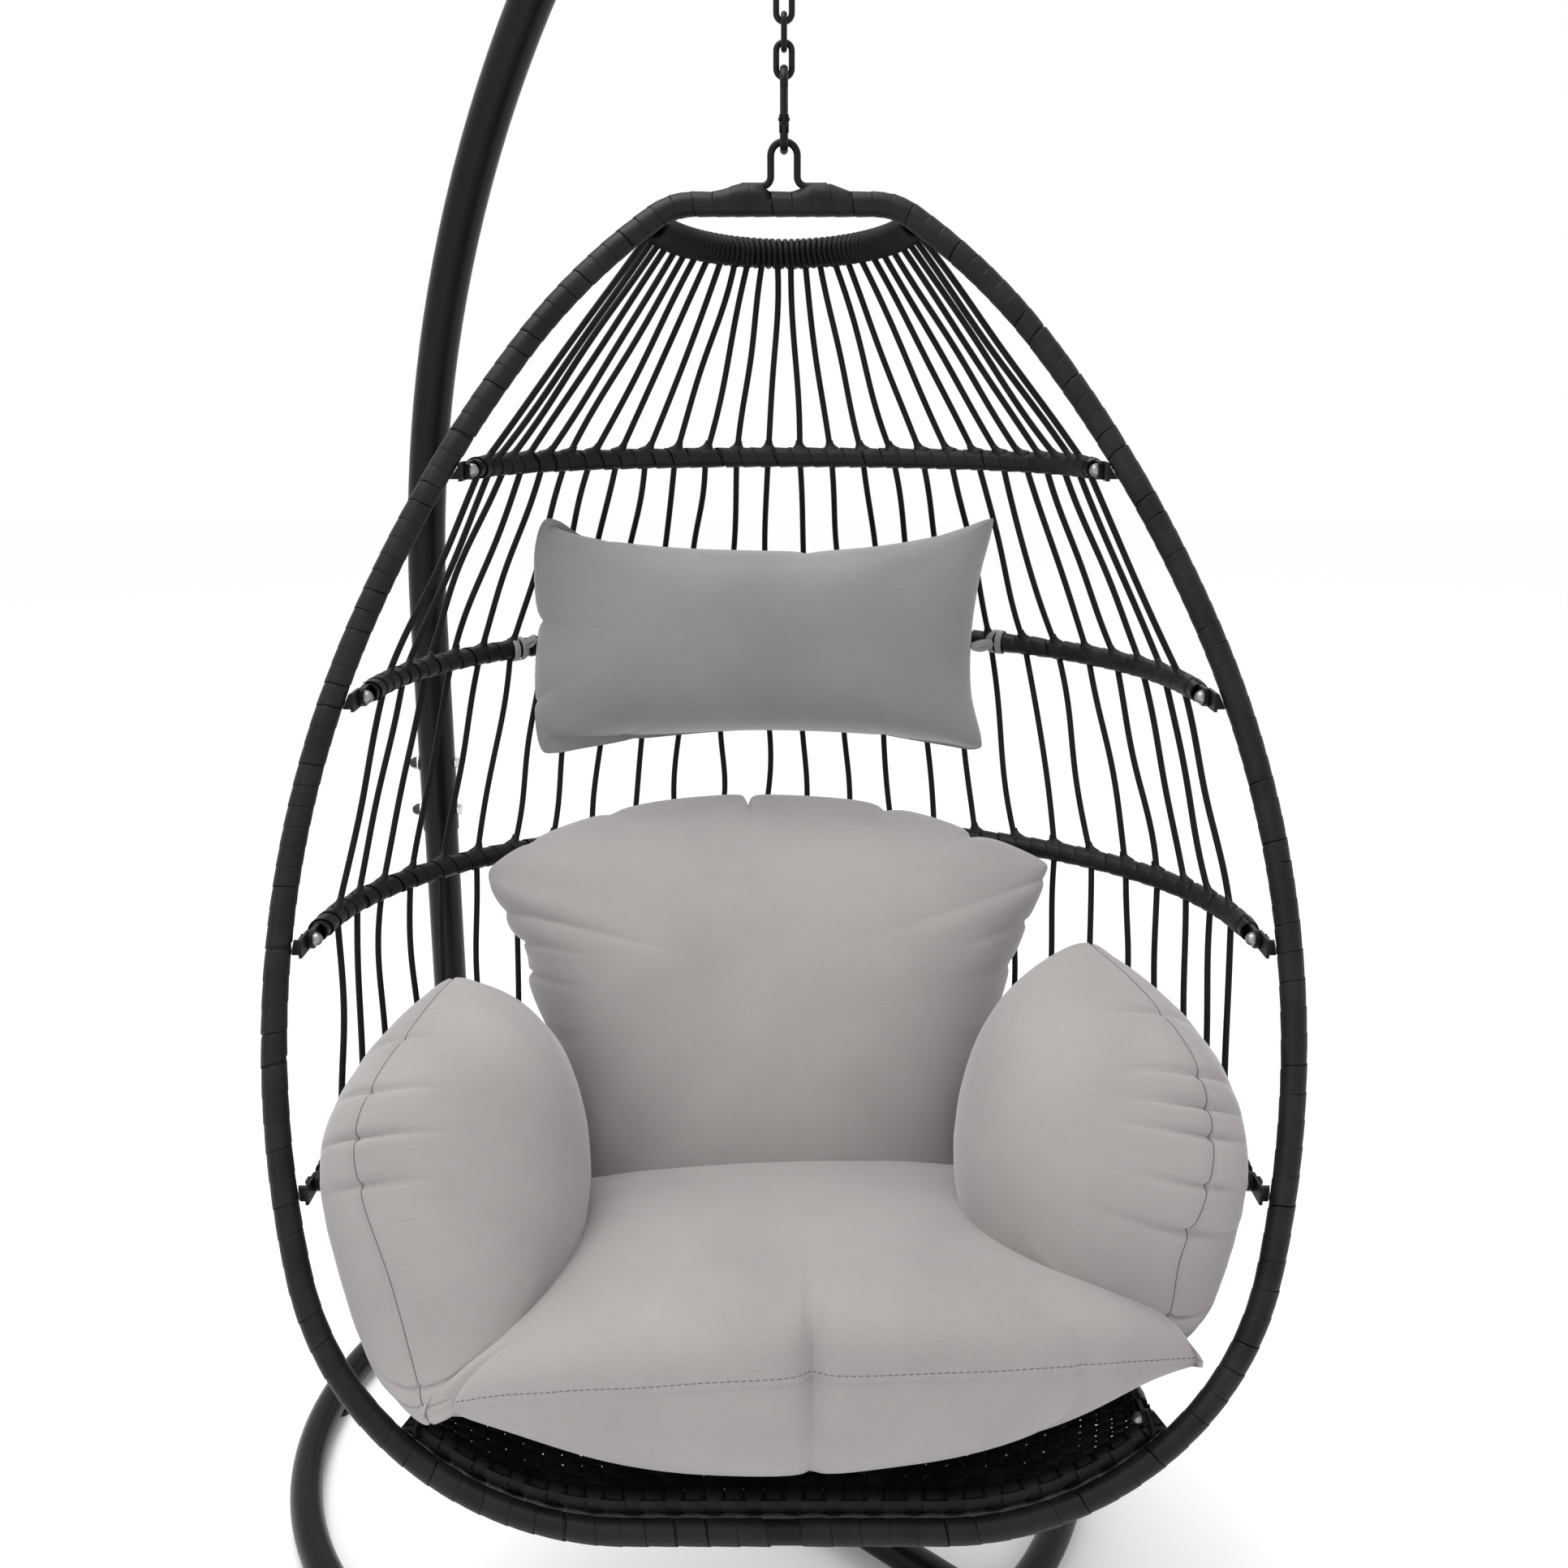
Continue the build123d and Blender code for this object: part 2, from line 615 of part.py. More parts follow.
def cage_inside():
    """The room inside the corded cage: half ellipses at the bars, run forward to the rim, ruled between."""
    sections = []
    levels = [(*BARS[name], 0) for name in reversed(BARS)]
    for down, depth, droop in [(SEAT_DOWN, SEAT_DEPTH, SEAT_DROOP), *levels]:
        half_width = ear_point(down).X - CAGE_MARGIN
        reach = depth - PIVOT_BEHIND - EAR_LENGTH - CAGE_MARGIN
        arc = half_ellipse(half_width, reach)
        front = Polyline(arc @ 1, (-half_width, -CAGE_FORWARD), (half_width, -CAGE_FORWARD), arc @ 0)
        sections.append(Wire(bar_plane(down, droop) * Wire([arc, *front.edges()])))
    room = Solid.make_loft(sections, ruled=True)
    left = room & (Pos(-1000, 0, 1000) * Box(2000, 2000, 2000))
    return left + mirror(left, about=Plane.YZ)


def padded(outline, plane, thickness):
    """A plain block: an outline on a plane, thickened to both sides."""
    return extrude(plane * make_face(Polyline(*outline, close=True)), amount=thickness / 2, both=True)


def seat_cushion():
    """Cut to a shallow trough below, because the woven seat rises towards its corners."""
    right = [(140, 0), (322, 80), (334, 124), (270, 176)]
    outline = right + [(-x, y) for x, y in reversed(right)]
    plane = Plane(origin=(0, -250, 378), x_dir=(1, 0, 0), z_dir=(0, -1, -0.05))
    return padded(outline, plane, 400)


def back_cushion():
    right = [(190, -185), (285, 60), (265, 170), (120, 195)]
    outline = right + [(-x, y) for x, y in reversed(right)]
    plane = Plane(origin=(0, -20, 716), x_dir=(1, 0, 0), z_dir=(0, -0.88, 0.48))
    return padded(outline, plane, 110)


def arm_cushion():
    """The left arm's pad, leaning against the cords."""
    outline = [(-175, -120), (0, -150), (175, -60), (190, 60), (60, 125), (-120, 110), (-185, 20)]
    plane = Plane(origin=(-332, -200, 604), x_dir=(0.22, 0.93, 0.28), z_dir=(0.86, -0.34, 0.38))
    return padded(outline, plane, 190)


def head_pillow():
    outline = [(-262, -128), (262, -128), (262, 128), (-262, 128)]
    plane = Plane(origin=(-32, 140, 1046), x_dir=(1, 0, 0), z_dir=(0, -0.97, 0.24))
    return padded(outline, plane, 110)


# ---------------------------------------------------------------- assembly

rim = rim_solid()
parts["rim_tube"] = rim_tube()
parts.update(rim_wrap())
downs = [down for down, depth in BARS.values()] + [SEAT_DOWN]
parts["pivot_tabs"] = group(both_sides(pivot_tab(down, rim)) for down in downs)
parts["pivot_bolts"] = group(both_sides(pivot_bolt(down)) for down in downs)
parts["pivot_nuts"] = group(both_sides(pivot_nut(down)) for down in downs)
parts["rear_arc_tube"] = tube(arc_path(), ARC_TUBE) - rim
parts["rear_arc_winding"] = tube(arc_path(), ARC_WINDING, ARC_TUBE) - rim

for bar_name, (bar_down, bar_depth) in BARS.items():
    parts[f"{bar_name}_tube"] = bar_tube(bar_down, bar_depth)
    parts[f"{bar_name}_wrap"] = bar_wrap(bar_down, bar_depth)

top_cords = cords_between(arc_point, bar_angle_point("bar_1"))
bar_1_solid = tube(bar_path(*BARS["bar_1"]), BAR_WRAP)
parts["cords_arc_to_bar_1"] = top_cords - tube(arc_path(), ARC_WINDING) - bar_1_solid
for upper_name, lower_name in (("bar_1", "bar_2"), ("bar_2", "bar_3"), ("bar_3", "bar_4")):
    cords = cords_between(bar_angle_point(upper_name), bar_angle_point(lower_name))
    parts[f"cords_{upper_name}_to_{lower_name}"] = cords
parts["cords_bar_4_to_seat"] = cords_between(bar_angle_point("bar_4"), seat_angle_point)

seat_ears = ear(SEAT_DOWN, SEAT_DROOP) + mirror(ear(SEAT_DOWN, SEAT_DROOP), about=Plane.YZ)
back_rail = tube(seat_back_path(), SEAT_RAIL) + seat_ears
parts["seat_back_rail"] = tube(seat_back_path(), SEAT_RAIL, SEAT_BORE) + seat_ears
parts["seat_front_rail"] = seat_front_rail(back_rail)
parts["seat_weave"] = largest(seat_weave() - back_rail - tube(seat_front_path(), SEAT_RAIL))

parts["hanging_loop"] = hanging_loop()
parts["hook_body"] = hook_body()
parts["hook_gate"] = hook_gate()
parts["hook_gate_pin"] = hook_pin()
parts["chain_lower_links"] = group(chain_link(number) for number in range(0, 5))
parts["chain_upper_links"] = group(chain_link(number) for number in range(5, LINKS - 1))
parts["chain_top_link"] = chain_link(LINKS - 1)

eye_hole = rod((0, 0, 1800), (0, 0, 2100), EYE_WIRE + 0.4)
parts["arm_upper"] = upper_arm() - eye_hole
parts["pole_lower"] = lower_pole()
parts["pole_bolts"] = pole_bolts()
parts["pole_washers"] = pole_washers()
parts["pole_cap_nuts"] = pole_cap_nuts()
parts["arm_end_cap"] = arm_cap()
parts["arm_eye"] = arm_eye()
parts["arm_eye_nut"] = arm_eye_nut()
parts.update(base_parts())

room = cage_inside()
seat = seat_cushion() & room
back = back_cushion() & room
parts["seat_cushion"] = largest(seat)
parts["back_cushion"] = largest(back - seat)
parts["arm_cushion_left"] = largest((arm_cushion() & room) - seat - back)
parts["arm_cushion_right"] = mirror(parts["arm_cushion_left"], about=Plane.YZ)
parts["head_pillow"] = largest(head_pillow() & room)

footprint = group(parts.values()).bounding_box()
to_origin = Pos(-footprint.center().X, -footprint.center().Y, -footprint.min.Z)
print("the chain stands at", -footprint.center().X, -footprint.center().Y)
for name, shape in parts.items():
    export_step(to_origin * shape, f"parts/{name}.step")
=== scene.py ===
from math import cos, pi, radians, sin

import bpy
import numpy as np
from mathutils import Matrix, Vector


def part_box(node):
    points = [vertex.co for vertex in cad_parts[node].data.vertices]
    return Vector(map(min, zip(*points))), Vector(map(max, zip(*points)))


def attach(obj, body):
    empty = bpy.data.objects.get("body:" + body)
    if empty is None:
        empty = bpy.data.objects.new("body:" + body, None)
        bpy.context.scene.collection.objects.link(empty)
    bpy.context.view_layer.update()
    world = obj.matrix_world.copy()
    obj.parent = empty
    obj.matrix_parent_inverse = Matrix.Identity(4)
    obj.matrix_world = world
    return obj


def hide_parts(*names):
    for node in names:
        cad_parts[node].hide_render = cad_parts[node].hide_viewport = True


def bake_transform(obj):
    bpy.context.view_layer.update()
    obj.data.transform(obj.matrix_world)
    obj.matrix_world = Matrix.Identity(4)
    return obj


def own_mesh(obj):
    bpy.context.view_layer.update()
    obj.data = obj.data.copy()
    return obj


# Hanging egg chair. Lengths below are in millimetres from the chain's axis and the floor, with +X to the
# right, +Y to the back and +Z up; place() turns them into metres in the model's own frame.

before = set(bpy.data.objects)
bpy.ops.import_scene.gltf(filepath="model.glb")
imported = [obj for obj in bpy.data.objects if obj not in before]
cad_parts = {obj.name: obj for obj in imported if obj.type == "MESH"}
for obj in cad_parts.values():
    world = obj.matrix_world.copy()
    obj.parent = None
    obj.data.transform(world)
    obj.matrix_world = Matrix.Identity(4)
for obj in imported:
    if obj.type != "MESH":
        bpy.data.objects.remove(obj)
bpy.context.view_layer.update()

loop_low, loop_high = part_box("hanging_loop")
CHAIN_X = (loop_low[0] + loop_high[0]) / 2
CHAIN_Y = (loop_low[1] + loop_high[1]) / 2
MM = 0.001

# Rim: an egg of tangent arcs in a plane that leans back at the top, as in the CAD model
RIM_LEAN = radians(20.8)
RIM_NORMAL = (0, cos(RIM_LEAN), -sin(RIM_LEAN))
RIM_TOP = 1501.0  # height of the top's centre line
RIM_TOP_FLAT = 89.0  # half the straight part of the top
RIM_ARCS = ((61, 37), (609, 17.4), (1300, 14.8), (980, 35.1), (283, 29.9), (326, 45.8))  # radius, degrees
RIM_TUBE_RADIUS = 11.0

# Bars: half ellipses, each given by its distance down the rim and its depth
BARS = {"bar_1": (271.0, 248.0), "bar_2": (497.0, 418.0), "bar_3": (731.0, 402.0), "bar_4": (958.0, 400.0)}
PIVOT_BEHIND = 28.0  # from the rim's centre line back to the pivot bolts
EAR_INSIDE = 23.9  # from the rim's centre line in to the bar's, at its ends
EAR_LENGTH = 20.0  # from a pivot bolt to where the bar's curve begins
BAR_TUBE_RADIUS = 9.5

# The seat frame's back rail is one more half ellipse, and so is the rear arc behind the rim's top
SEAT_DOWN = 1174.0
SEAT_DEPTH = 400.0
SEAT_DROOP = radians(6)
SEAT_FRONT_INSET = 6.0
ARC_DOWN = 17.0
ARC_DEPTH = 168.0
ARC_DROOP = radians(7)

CORDS = 26
CORD_RADIUS = 3.3
FIRST_CORD_ANGLE = 8.0  # degrees round the half ellipse of a bar

STRIP = 0.36  # thickness of the flat rattan strip


def place(points):
    """Millimetres from the chain's axis, as metres in the model's frame."""
    return np.asarray(points, float) * MM + np.array([CHAIN_X, CHAIN_Y, 0.0])


def unit(vector):
    vector = np.asarray(vector, float)
    return vector / np.linalg.norm(vector, axis=-1, keepdims=True)


# ---------------------------------------------------------------- materials

def new_material(name, color, roughness, **settings):
    """A material with one principled shader; settings are its other sockets, with _ for a space."""
    material = bpy.data.materials.new(name)
    material.use_nodes = True
    shader = material.node_tree.nodes["Principled BSDF"]
    shader.inputs["Base Color"].default_value = (*color, 1)
    shader.inputs["Roughness"].default_value = roughness
    for socket, value in settings.items():
        shader.inputs[socket.replace("_", " ")].default_value = value
    return material


def node(material, kind, **values):
    made = material.node_tree.nodes.new(kind)
    for key, value in values.items():
        if hasattr(made, key):
            setattr(made, key, value)
        else:
            made.inputs[key.replace("_", " ")].default_value = value
    return made


def link(material, source, output, target, socket):
    material.node_tree.links.new(source.outputs[output], target.inputs[socket])


def shader_of(material):
    return material.node_tree.nodes["Principled BSDF"]


def color_between(material, factor, output, dark, light, low=0.0, high=1.0):
    """Colours the shader from dark to light by another node's output."""
    ramp = node(material, "ShaderNodeValToRGB")
    ramp.color_ramp.elements[0].position = low
    ramp.color_ramp.elements[0].color = (*dark, 1)
    ramp.color_ramp.elements[1].position = high
    ramp.color_ramp.elements[1].color = (*light, 1)
    link(material, factor, output, ramp, "Fac")
    link(material, ramp, "Color", shader_of(material), "Base Color")


def roughness_between(material, factor, output, low, high):
    scale = node(material, "ShaderNodeMapRange", To_Min=low, To_Max=high)
    link(material, factor, output, scale, "Value")
    link(material, scale, "Result", shader_of(material), "Roughness")


def add_bump(material, factor, output, distance, strength=1.0):
    """A bump node; several are chained in the order they are added."""
    bump = node(material, "ShaderNodeBump", Distance=distance, Strength=strength)
    link(material, factor, output, bump, "Height")
    before = [entry.from_node for entry in material.node_tree.links
              if entry.to_node == shader_of(material) and entry.to_socket.name == "Normal"]
    if before:
        link(material, before[0], "Normal", bump, "Normal")
    link(material, bump, "Normal", shader_of(material), "Normal")


def noise(material, scale, detail=3.0, output="Object", stretch=(1, 1, 1)):
    where = node(material, "ShaderNodeTexCoord")
    mapping = node(material, "ShaderNodeMapping")
    mapping.inputs["Scale"].default_value = stretch
    texture = node(material, "ShaderNodeTexNoise", Scale=scale, Detail=detail)
    link(material, where, output, mapping, "Vector")
    link(material, mapping, "Vector", texture, "Vector")
    return texture


def bands(material, direction, period, output="UV", distortion=0.0):
    """Parallel stripes with a period in metres, for coordinates that are in metres."""
    where = node(material, "ShaderNodeTexCoord")
    wave = node(material, "ShaderNodeTexWave", bands_direction=direction)
    wave.inputs["Scale"].default_value = 2 * pi / (20 * period)
    wave.inputs["Distortion"].default_value = distortion
    wave.inputs["Detail"].default_value = 1.0
    link(material, where, output, wave, "Vector")
    return wave


def black_paint(name, roughness=0.3):
    """Powder coat: near black, with a fine orange peel and faint cloudiness in its gloss."""
    material = new_material(name, (0.003, 0.0035, 0.004), roughness, Specular_IOR_Level=0.17)
    cloud = noise(material, 9.0)
    roughness_between(material, cloud, "Fac", roughness - 0.06, roughness + 0.08)
    color_between(material, cloud, "Fac", (0.002, 0.0024, 0.003), (0.0042, 0.0047, 0.0053), 0.3, 0.7)
    add_bump(material, noise(material, 900.0, 2.0), "Fac", 0.00012, 0.5)
    return material


def rattan():
    """Flat plastic strip: fine grooves along its length, and each length a little different in tone."""
    material = new_material("rattan", (0.007, 0.008, 0.0095), 0.42, Specular_IOR_Level=0.2)
    tone = noise(material, 22.0, 2.0)
    color_between(material, tone, "Fac", (0.003, 0.0036, 0.0043), (0.0085, 0.0097, 0.0115), 0.35, 0.7)
    roughness_between(material, tone, "Fac", 0.38, 0.55)
    add_bump(material, bands(material, "Y", 0.0021), "Fac", 0.00010, 0.5)
    add_bump(material, noise(material, 1500.0, 2.0), "Fac", 0.00008, 0.4)
    return material


def cord_material():
    """Round plastic cord with a fine twist."""
    material = new_material("cord", (0.004, 0.0042, 0.0045), 0.5, Specular_IOR_Level=0.15)
    tone = noise(material, 40.0, 2.0)
    color_between(material, tone, "Fac", (0.002, 0.0022, 0.0025), (0.005, 0.0055, 0.006), 0.3, 0.75)
    add_bump(material, bands(material, "DIAGONAL", 0.0028), "Fac", 0.00012, 0.5)
    return material


def fabric(name, dark, light):
    """Plain woven polyester: crossing threads, slubs, a soft sheen and faint cloudiness."""
    sheen = {"Sheen_Weight": 0.35, "Sheen_Roughness": 0.45}
    material = new_material(name, light, 0.78, Specular_IOR_Level=0.25, **sheen)
    cloud = noise(material, 7.0, 4.0)
    slub = noise(material, 900.0, 3.0, "UV", (0.1, 1.0, 1))
    mix = node(material, "ShaderNodeMix", data_type="FLOAT")
    mix.inputs["Factor"].default_value = 0.3
    link(material, cloud, "Fac", mix, "A")
    link(material, slub, "Fac", mix, "B")
    color_between(material, mix, "Result", dark, light, 0.36, 0.62)
    warp = bands(material, "X", 0.0011, distortion=0.6)
    weft = bands(material, "Y", 0.0011, distortion=0.6)
    weave = node(material, "ShaderNodeMath", operation="MULTIPLY")
    link(material, warp, "Fac", weave, 0)
    link(material, weft, "Fac", weave, 1)
    add_bump(material, weave, "Value", 0.0002, 0.3)
    add_bump(material, slub, "Fac", 0.0002, 0.2)
    return material


def metal(name, color, roughness):
    material = new_material(name, color, roughness, Metallic=1.0)
    scratch = noise(material, 260.0, 3.0, "Object", (1, 1, 6))
    roughness_between(material, scratch, "Fac", roughness - 0.08, roughness + 0.1)
    add_bump(material, scratch, "Fac", 0.00005, 0.4)
    return material


def rubber():
    material = new_material("rubber", (0.012, 0.012, 0.012), 0.8)
    add_bump(material, noise(material, 700.0), "Fac", 0.0002, 0.6)
    return material


def plastic(name, roughness):
    material = new_material(name, (0.007, 0.007, 0.008), roughness)
    grain = noise(material, 1200.0, 2.0)
    add_bump(material, grain, "Fac", 0.00008, 0.4)
    roughness_between(material, grain, "Fac", roughness - 0.05, roughness + 0.08)
    return material


MATERIALS = {
    "stand": black_paint("stand_paint", 0.3),
    "frame": black_paint("frame_paint", 0.4),
    "chain": black_paint("chain_paint", 0.34),
    "rattan": rattan(),
    "cord": cord_material(),
    "cushion": fabric("cushion_fabric", (0.256, 0.237, 0.233), (0.298, 0.277, 0.272)),
    "pillow": fabric("pillow_fabric", (0.212, 0.209, 0.207), (0.25, 0.246, 0.243)),
    "thread": new_material("thread", (0.1, 0.075, 0.085), 0.8),
    "nickel": metal("nickel", (0.3, 0.295, 0.29), 0.38),
    "steel": metal("bolt_steel", (0.62, 0.62, 0.61), 0.35),
    "cap": plastic("cap_nut_plastic", 0.22),
    "plug": plastic("plug_plastic", 0.5),
    "rubber": rubber(),
}


# ---------------------------------------------------------------- mesh building

def mesh_piece(name, vertices, faces, material, body, uvs=None):
    """A smooth-shaded mesh object that rides on a body; vertices in millimetres from the chain's axis."""
    mesh = bpy.data.meshes.new(name)
    mesh.from_pydata(place(vertices).tolist(), [], [tuple(map(int, face)) for face in faces])
    mesh.validate()
    if uvs is not None:
        layer = mesh.uv_layers.new(name="metres")
        corner = np.empty(len(mesh.loops), dtype=np.int64)
        mesh.loops.foreach_get("vertex_index", corner)
        layer.data.foreach_set("uv", (np.asarray(uvs)[corner] * MM).astype(np.float32).ravel())
    mesh.polygons.foreach_set("use_smooth", [True] * len(mesh.polygons))
    mesh.materials.append(MATERIALS[material])
    piece = bpy.data.objects.new(name, mesh)
    bpy.context.collection.objects.link(piece)
    if body:
        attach(piece, body)
    return piece


class Course:
    """A line through space, read by the distance from its start, with a frame carried along it."""

    def __init__(self, points, first_normal=(0, 0.31, 0.95)):
        self.points = np.asarray(points, float)
        steps = np.linalg.norm(np.diff(self.points, axis=0), axis=1)
        self.along = np.concatenate([[0], np.cumsum(steps)])
        self.length = self.along[-1]
        self.tangents = unit(np.gradient(self.points, self.along, axis=0))
        normals = [np.asarray(first_normal, float)]
        for tangent in self.tangents:
            normal = normals[-1] - tangent * np.dot(normals[-1], tangent)
            normals.append(unit(normal))
        self.normals = np.array(normals[1:])
        self.sides = np.cross(self.tangents, self.normals)

    def read(self, distance):
        """Points, normals and sides at an array of distances."""
        def column(values):
            return np.stack([np.interp(distance, self.along, values[:, k]) for k in range(3)], axis=-1)
        return column(self.points), column(self.normals), column(self.sides)


class Mesh:
    """Vertices, faces and UVs gathered from several swept shapes."""

    def __init__(self):
        self.vertices = []
        self.faces = []
        self.uvs = []
        self.count = 0

    def sweep(self, rings, across=None, along=None):
        """Rings of equal size joined into one closed tube with capped ends."""
        rings = np.asarray(rings)
        steps, size = rings.shape[:2]
        if across is None:
            edge = np.linalg.norm(np.roll(rings[0], -1, axis=0) - rings[0], axis=1)
            across = np.concatenate([[0], np.cumsum(edge[:-1])])
        if along is None:
            step = np.linalg.norm(np.diff(rings.mean(axis=1), axis=0), axis=1)
            along = np.concatenate([[0], np.cumsum(step)])
        index = self.count + np.arange(steps * size).reshape(steps, size)
        near = index[:-1]
        far = index[1:]
        quads = np.stack([near, np.roll(near, -1, 1), np.roll(far, -1, 1), far], axis=-1).reshape(-1, 4)
        self.vertices.append(rings.reshape(-1, 3))
        self.uvs.append(np.stack(np.broadcast_arrays(along[:, None], across[None, :]), -1).reshape(-1, 2))
        self.faces.extend(quads.tolist())
        self.faces.append(index[0][::-1].tolist())
        self.faces.append(index[-1].tolist())
        self.count += steps * size

    def piece(self, name, material, body, slot):
        vertices = np.concatenate(self.vertices)
        return mesh_piece(name, vertices, self.faces, material, body, np.concatenate(self.uvs))


def wind(mesh, course, first, last, pitch, section, per_turn=22, wander=0.0, swell=None, seed=1, level=0.0):
    """Adds a band wound round a course; the section's corners are (distance along, radius).

    wander shifts the turns unevenly along the course, and swell(centre, angle) adds to the radius. level is
    how far, from 0 to 1, the band's edges stand square to the course on the side away from its normal.
    """
    turns = (last - first) / pitch
    turn = np.linspace(0, turns, int(turns * per_turn))
    drift = np.random.default_rng(seed).normal(0, wander, int(turns) + 3)
    shift = np.interp(turn, np.arange(len(drift)), drift)
    angle = 2 * pi * turn
    advance = turn + level * np.sin(angle) / (2 * pi)
    rings = []
    for along, radius in section:
        distance = np.clip(first + advance * pitch + shift + along, 0, course.length)
        centre, normal, side = course.read(distance)
        if swell:
            radius = radius + swell(centre, angle)
        radius = np.broadcast_to(radius, angle.shape)[:, None]
        rings.append(centre + radius * (np.cos(angle)[:, None] * normal + np.sin(angle)[:, None] * side))
    wound_length = 2 * pi * section[0][1] / per_turn * np.arange(len(turn))
    across = np.array([along for along, radius in section], float)
    mesh.sweep(np.stack(rings, axis=1), across, wound_length)


def strip_section(radius, width, lift=STRIP):
    """A flat strip that starts under the turn before it and ends on top of it."""
    low = radius
    high = radius + lift
    return [(0, low), (width * 0.5, low + lift * 0.45), (width, high), (width + 0.3, high + lift * 0.5),
            (width, high + lift), (width * 0.93, high + lift * 1.05), (width * 0.5, low + lift * 1.5),
            (width * 0.1, low + lift * 0.75)]


def round_section(radius, core, corners=8):
    """A round cord lying on a core."""
    turn = [2 * pi * k / corners for k in range(corners)]
    return [(radius * cos(a), core + radius + radius * sin(a)) for a in turn]


def circle_rings(course, distance, radius, corners=8, flat=1.0):
    """Round rings along a course; radius may change along it, and flat squeezes them along the normal."""
    centre, normal, side = course.read(distance)
    angle = 2 * pi * np.arange(corners) / corners
    radius = np.broadcast_to(radius, np.shape(distance))[:, None, None]
    sideways = np.cos(angle)[None, :, None] * side[:, None]
    upward = flat * np.sin(angle)[None, :, None] * normal[:, None]
    return centre[:, None] + radius * (sideways + upward)


# ---------------------------------------------------------------- the basket's lines

def rim_point(across, down):
    """A point of the rim's plane, from its distances across it and down it."""
    return np.array([across, -down * sin(RIM_LEAN), RIM_TOP - down * cos(RIM_LEAN)])


def rim_outline(spacing=5.0):
    """The right half of the rim, as (across, down), from the middle of its top to its bottom."""
    points = [(x, 0.0) for x in np.arange(0, RIM_TOP_FLAT, spacing)]
    x, y, heading = RIM_TOP_FLAT, 0.0, 0.0
    for radius, degrees in RIM_ARCS:
        centre = (x - radius * sin(heading), y + radius * cos(heading))
        count = max(4, int(radius * radians(degrees) / spacing))
        for k in range(count):
            angle = heading + radians(degrees) * k / count
            points.append((centre[0] + radius * sin(angle), centre[1] - radius * cos(angle)))
        heading += radians(degrees)
        x = centre[0] + radius * sin(heading)
        y = centre[1] - radius * cos(heading)
    points += [(across, y) for across in np.arange(x, 0, -spacing)]
    return points + [(0.0, y)]


RIM_OUTLINE = rim_outline()
RIM_BOTTOM = RIM_OUTLINE[-1][1]


def rim_half_width(down):
    widths = [across for across, distance in RIM_OUTLINE]
    distances = [distance for across, distance in RIM_OUTLINE]
    return float(np.interp(down, distances, widths))


def rim_course():
    """The whole rim, from the middle of its bottom up the right side and down the left."""
    right = [rim_point(across, down) for across, down in reversed(RIM_OUTLINE)]
    left = [rim_point(-across, down) for across, down in RIM_OUTLINE[1:]]
    return Course(right + left, first_normal=RIM_NORMAL)


def half_ellipse(origin, half_width, reach, droop, angle):
    """A point of a half ellipse that runs from the right over the back to the left."""
    back = np.array([0, cos(droop), -sin(droop)])
    flat = np.array([half_width * cos(angle), 0, 0])
    return np.asarray(origin) + flat + back * reach * sin(angle)


def bar_point(down, depth, angle, droop=0.0):
    pivot = rim_point(0, down) + np.array([0, PIVOT_BEHIND, 0])
    start = pivot + EAR_LENGTH * np.array([0, cos(droop), -sin(droop)])
    half_width = rim_half_width(down) - EAR_INSIDE
    return half_ellipse(start, half_width, depth - PIVOT_BEHIND - EAR_LENGTH, droop, angle)


def arc_point(angle):
    return half_ellipse(rim_point(0, ARC_DOWN), rim_half_width(ARC_DOWN) - 2, ARC_DEPTH, ARC_DROOP, angle)


def seat_back_point(angle):
    return bar_point(SEAT_DOWN, SEAT_DEPTH, angle, SEAT_DROOP)


def bar_course(down, depth, droop=0.0):
    return Course([bar_point(down, depth, angle, droop) for angle in np.linspace(0, pi, 160)])


def flat_half_of_rim():
    """Half the straight part at the rim's bottom."""
    x, heading = RIM_TOP_FLAT, 0.0
    for radius, degrees in RIM_ARCS:
        centre = x - radius * sin(heading)
        heading += radians(degrees)
        x = centre + radius * sin(heading)
    return x


def seat_front_points():
    """The front rail: the bottom of the rim, moved a little in and behind, from right to left."""
    corner_radius = RIM_ARCS[-1][0]
    corner_across = flat_half_of_rim()
    corner_down = RIM_BOTTOM - corner_radius
    scale = (corner_radius - SEAT_FRONT_INSET) / corner_radius
    inset = []
    for across, down in RIM_OUTLINE:
        if down < SEAT_DOWN:
            continue
        if across > corner_across:
            inset.append((corner_across + (across - corner_across) * scale,
                          corner_down + (down - corner_down) * scale))
        else:
            inset.append((across, down - SEAT_FRONT_INSET))
    whole = inset + [(-across, down) for across, down in reversed(inset[:-1])]
    return np.array([rim_point(across, down) + [0, PIVOT_BEHIND, 0] for across, down in whole])


# ---------------------------------------------------------------- wound parts

RIM_COURSE = rim_course()
LOOP_FOOT = (14.0, 66.0)  # where a foot of the hanging loop begins and ends, from the middle of the rim's top
LOOP_FOOT_RISE = 7.4
LOWER_SHARE = 0.24  # of the rim's length, on each side of its bottom, where the strip is wider
LOWER_PITCH = 26.0
UPPER_PITCH = 19.5
BAR_PITCH = 20.0
STRIP_OVERLAP = 1.06  # the strip's width over its pitch
LAST_TURN = 22.0  # from the start of the last turn on a bar to the bar's end
ARC_CORD_RADIUS = 3.6
ARC_CORD_PITCH = 7.0
ARC_CORE = 9.0


def upward_on_rim(angle):
    """How nearly a direction round the rim's top points up, from 0 to 1."""
    normal, side = RIM_COURSE.read(np.array([RIM_COURSE.length / 2]))[1:]
    up = np.cos(angle) * normal[0][2] + np.sin(angle) * side[0][2]
    return np.clip(up, 0, 1) ** 1.5


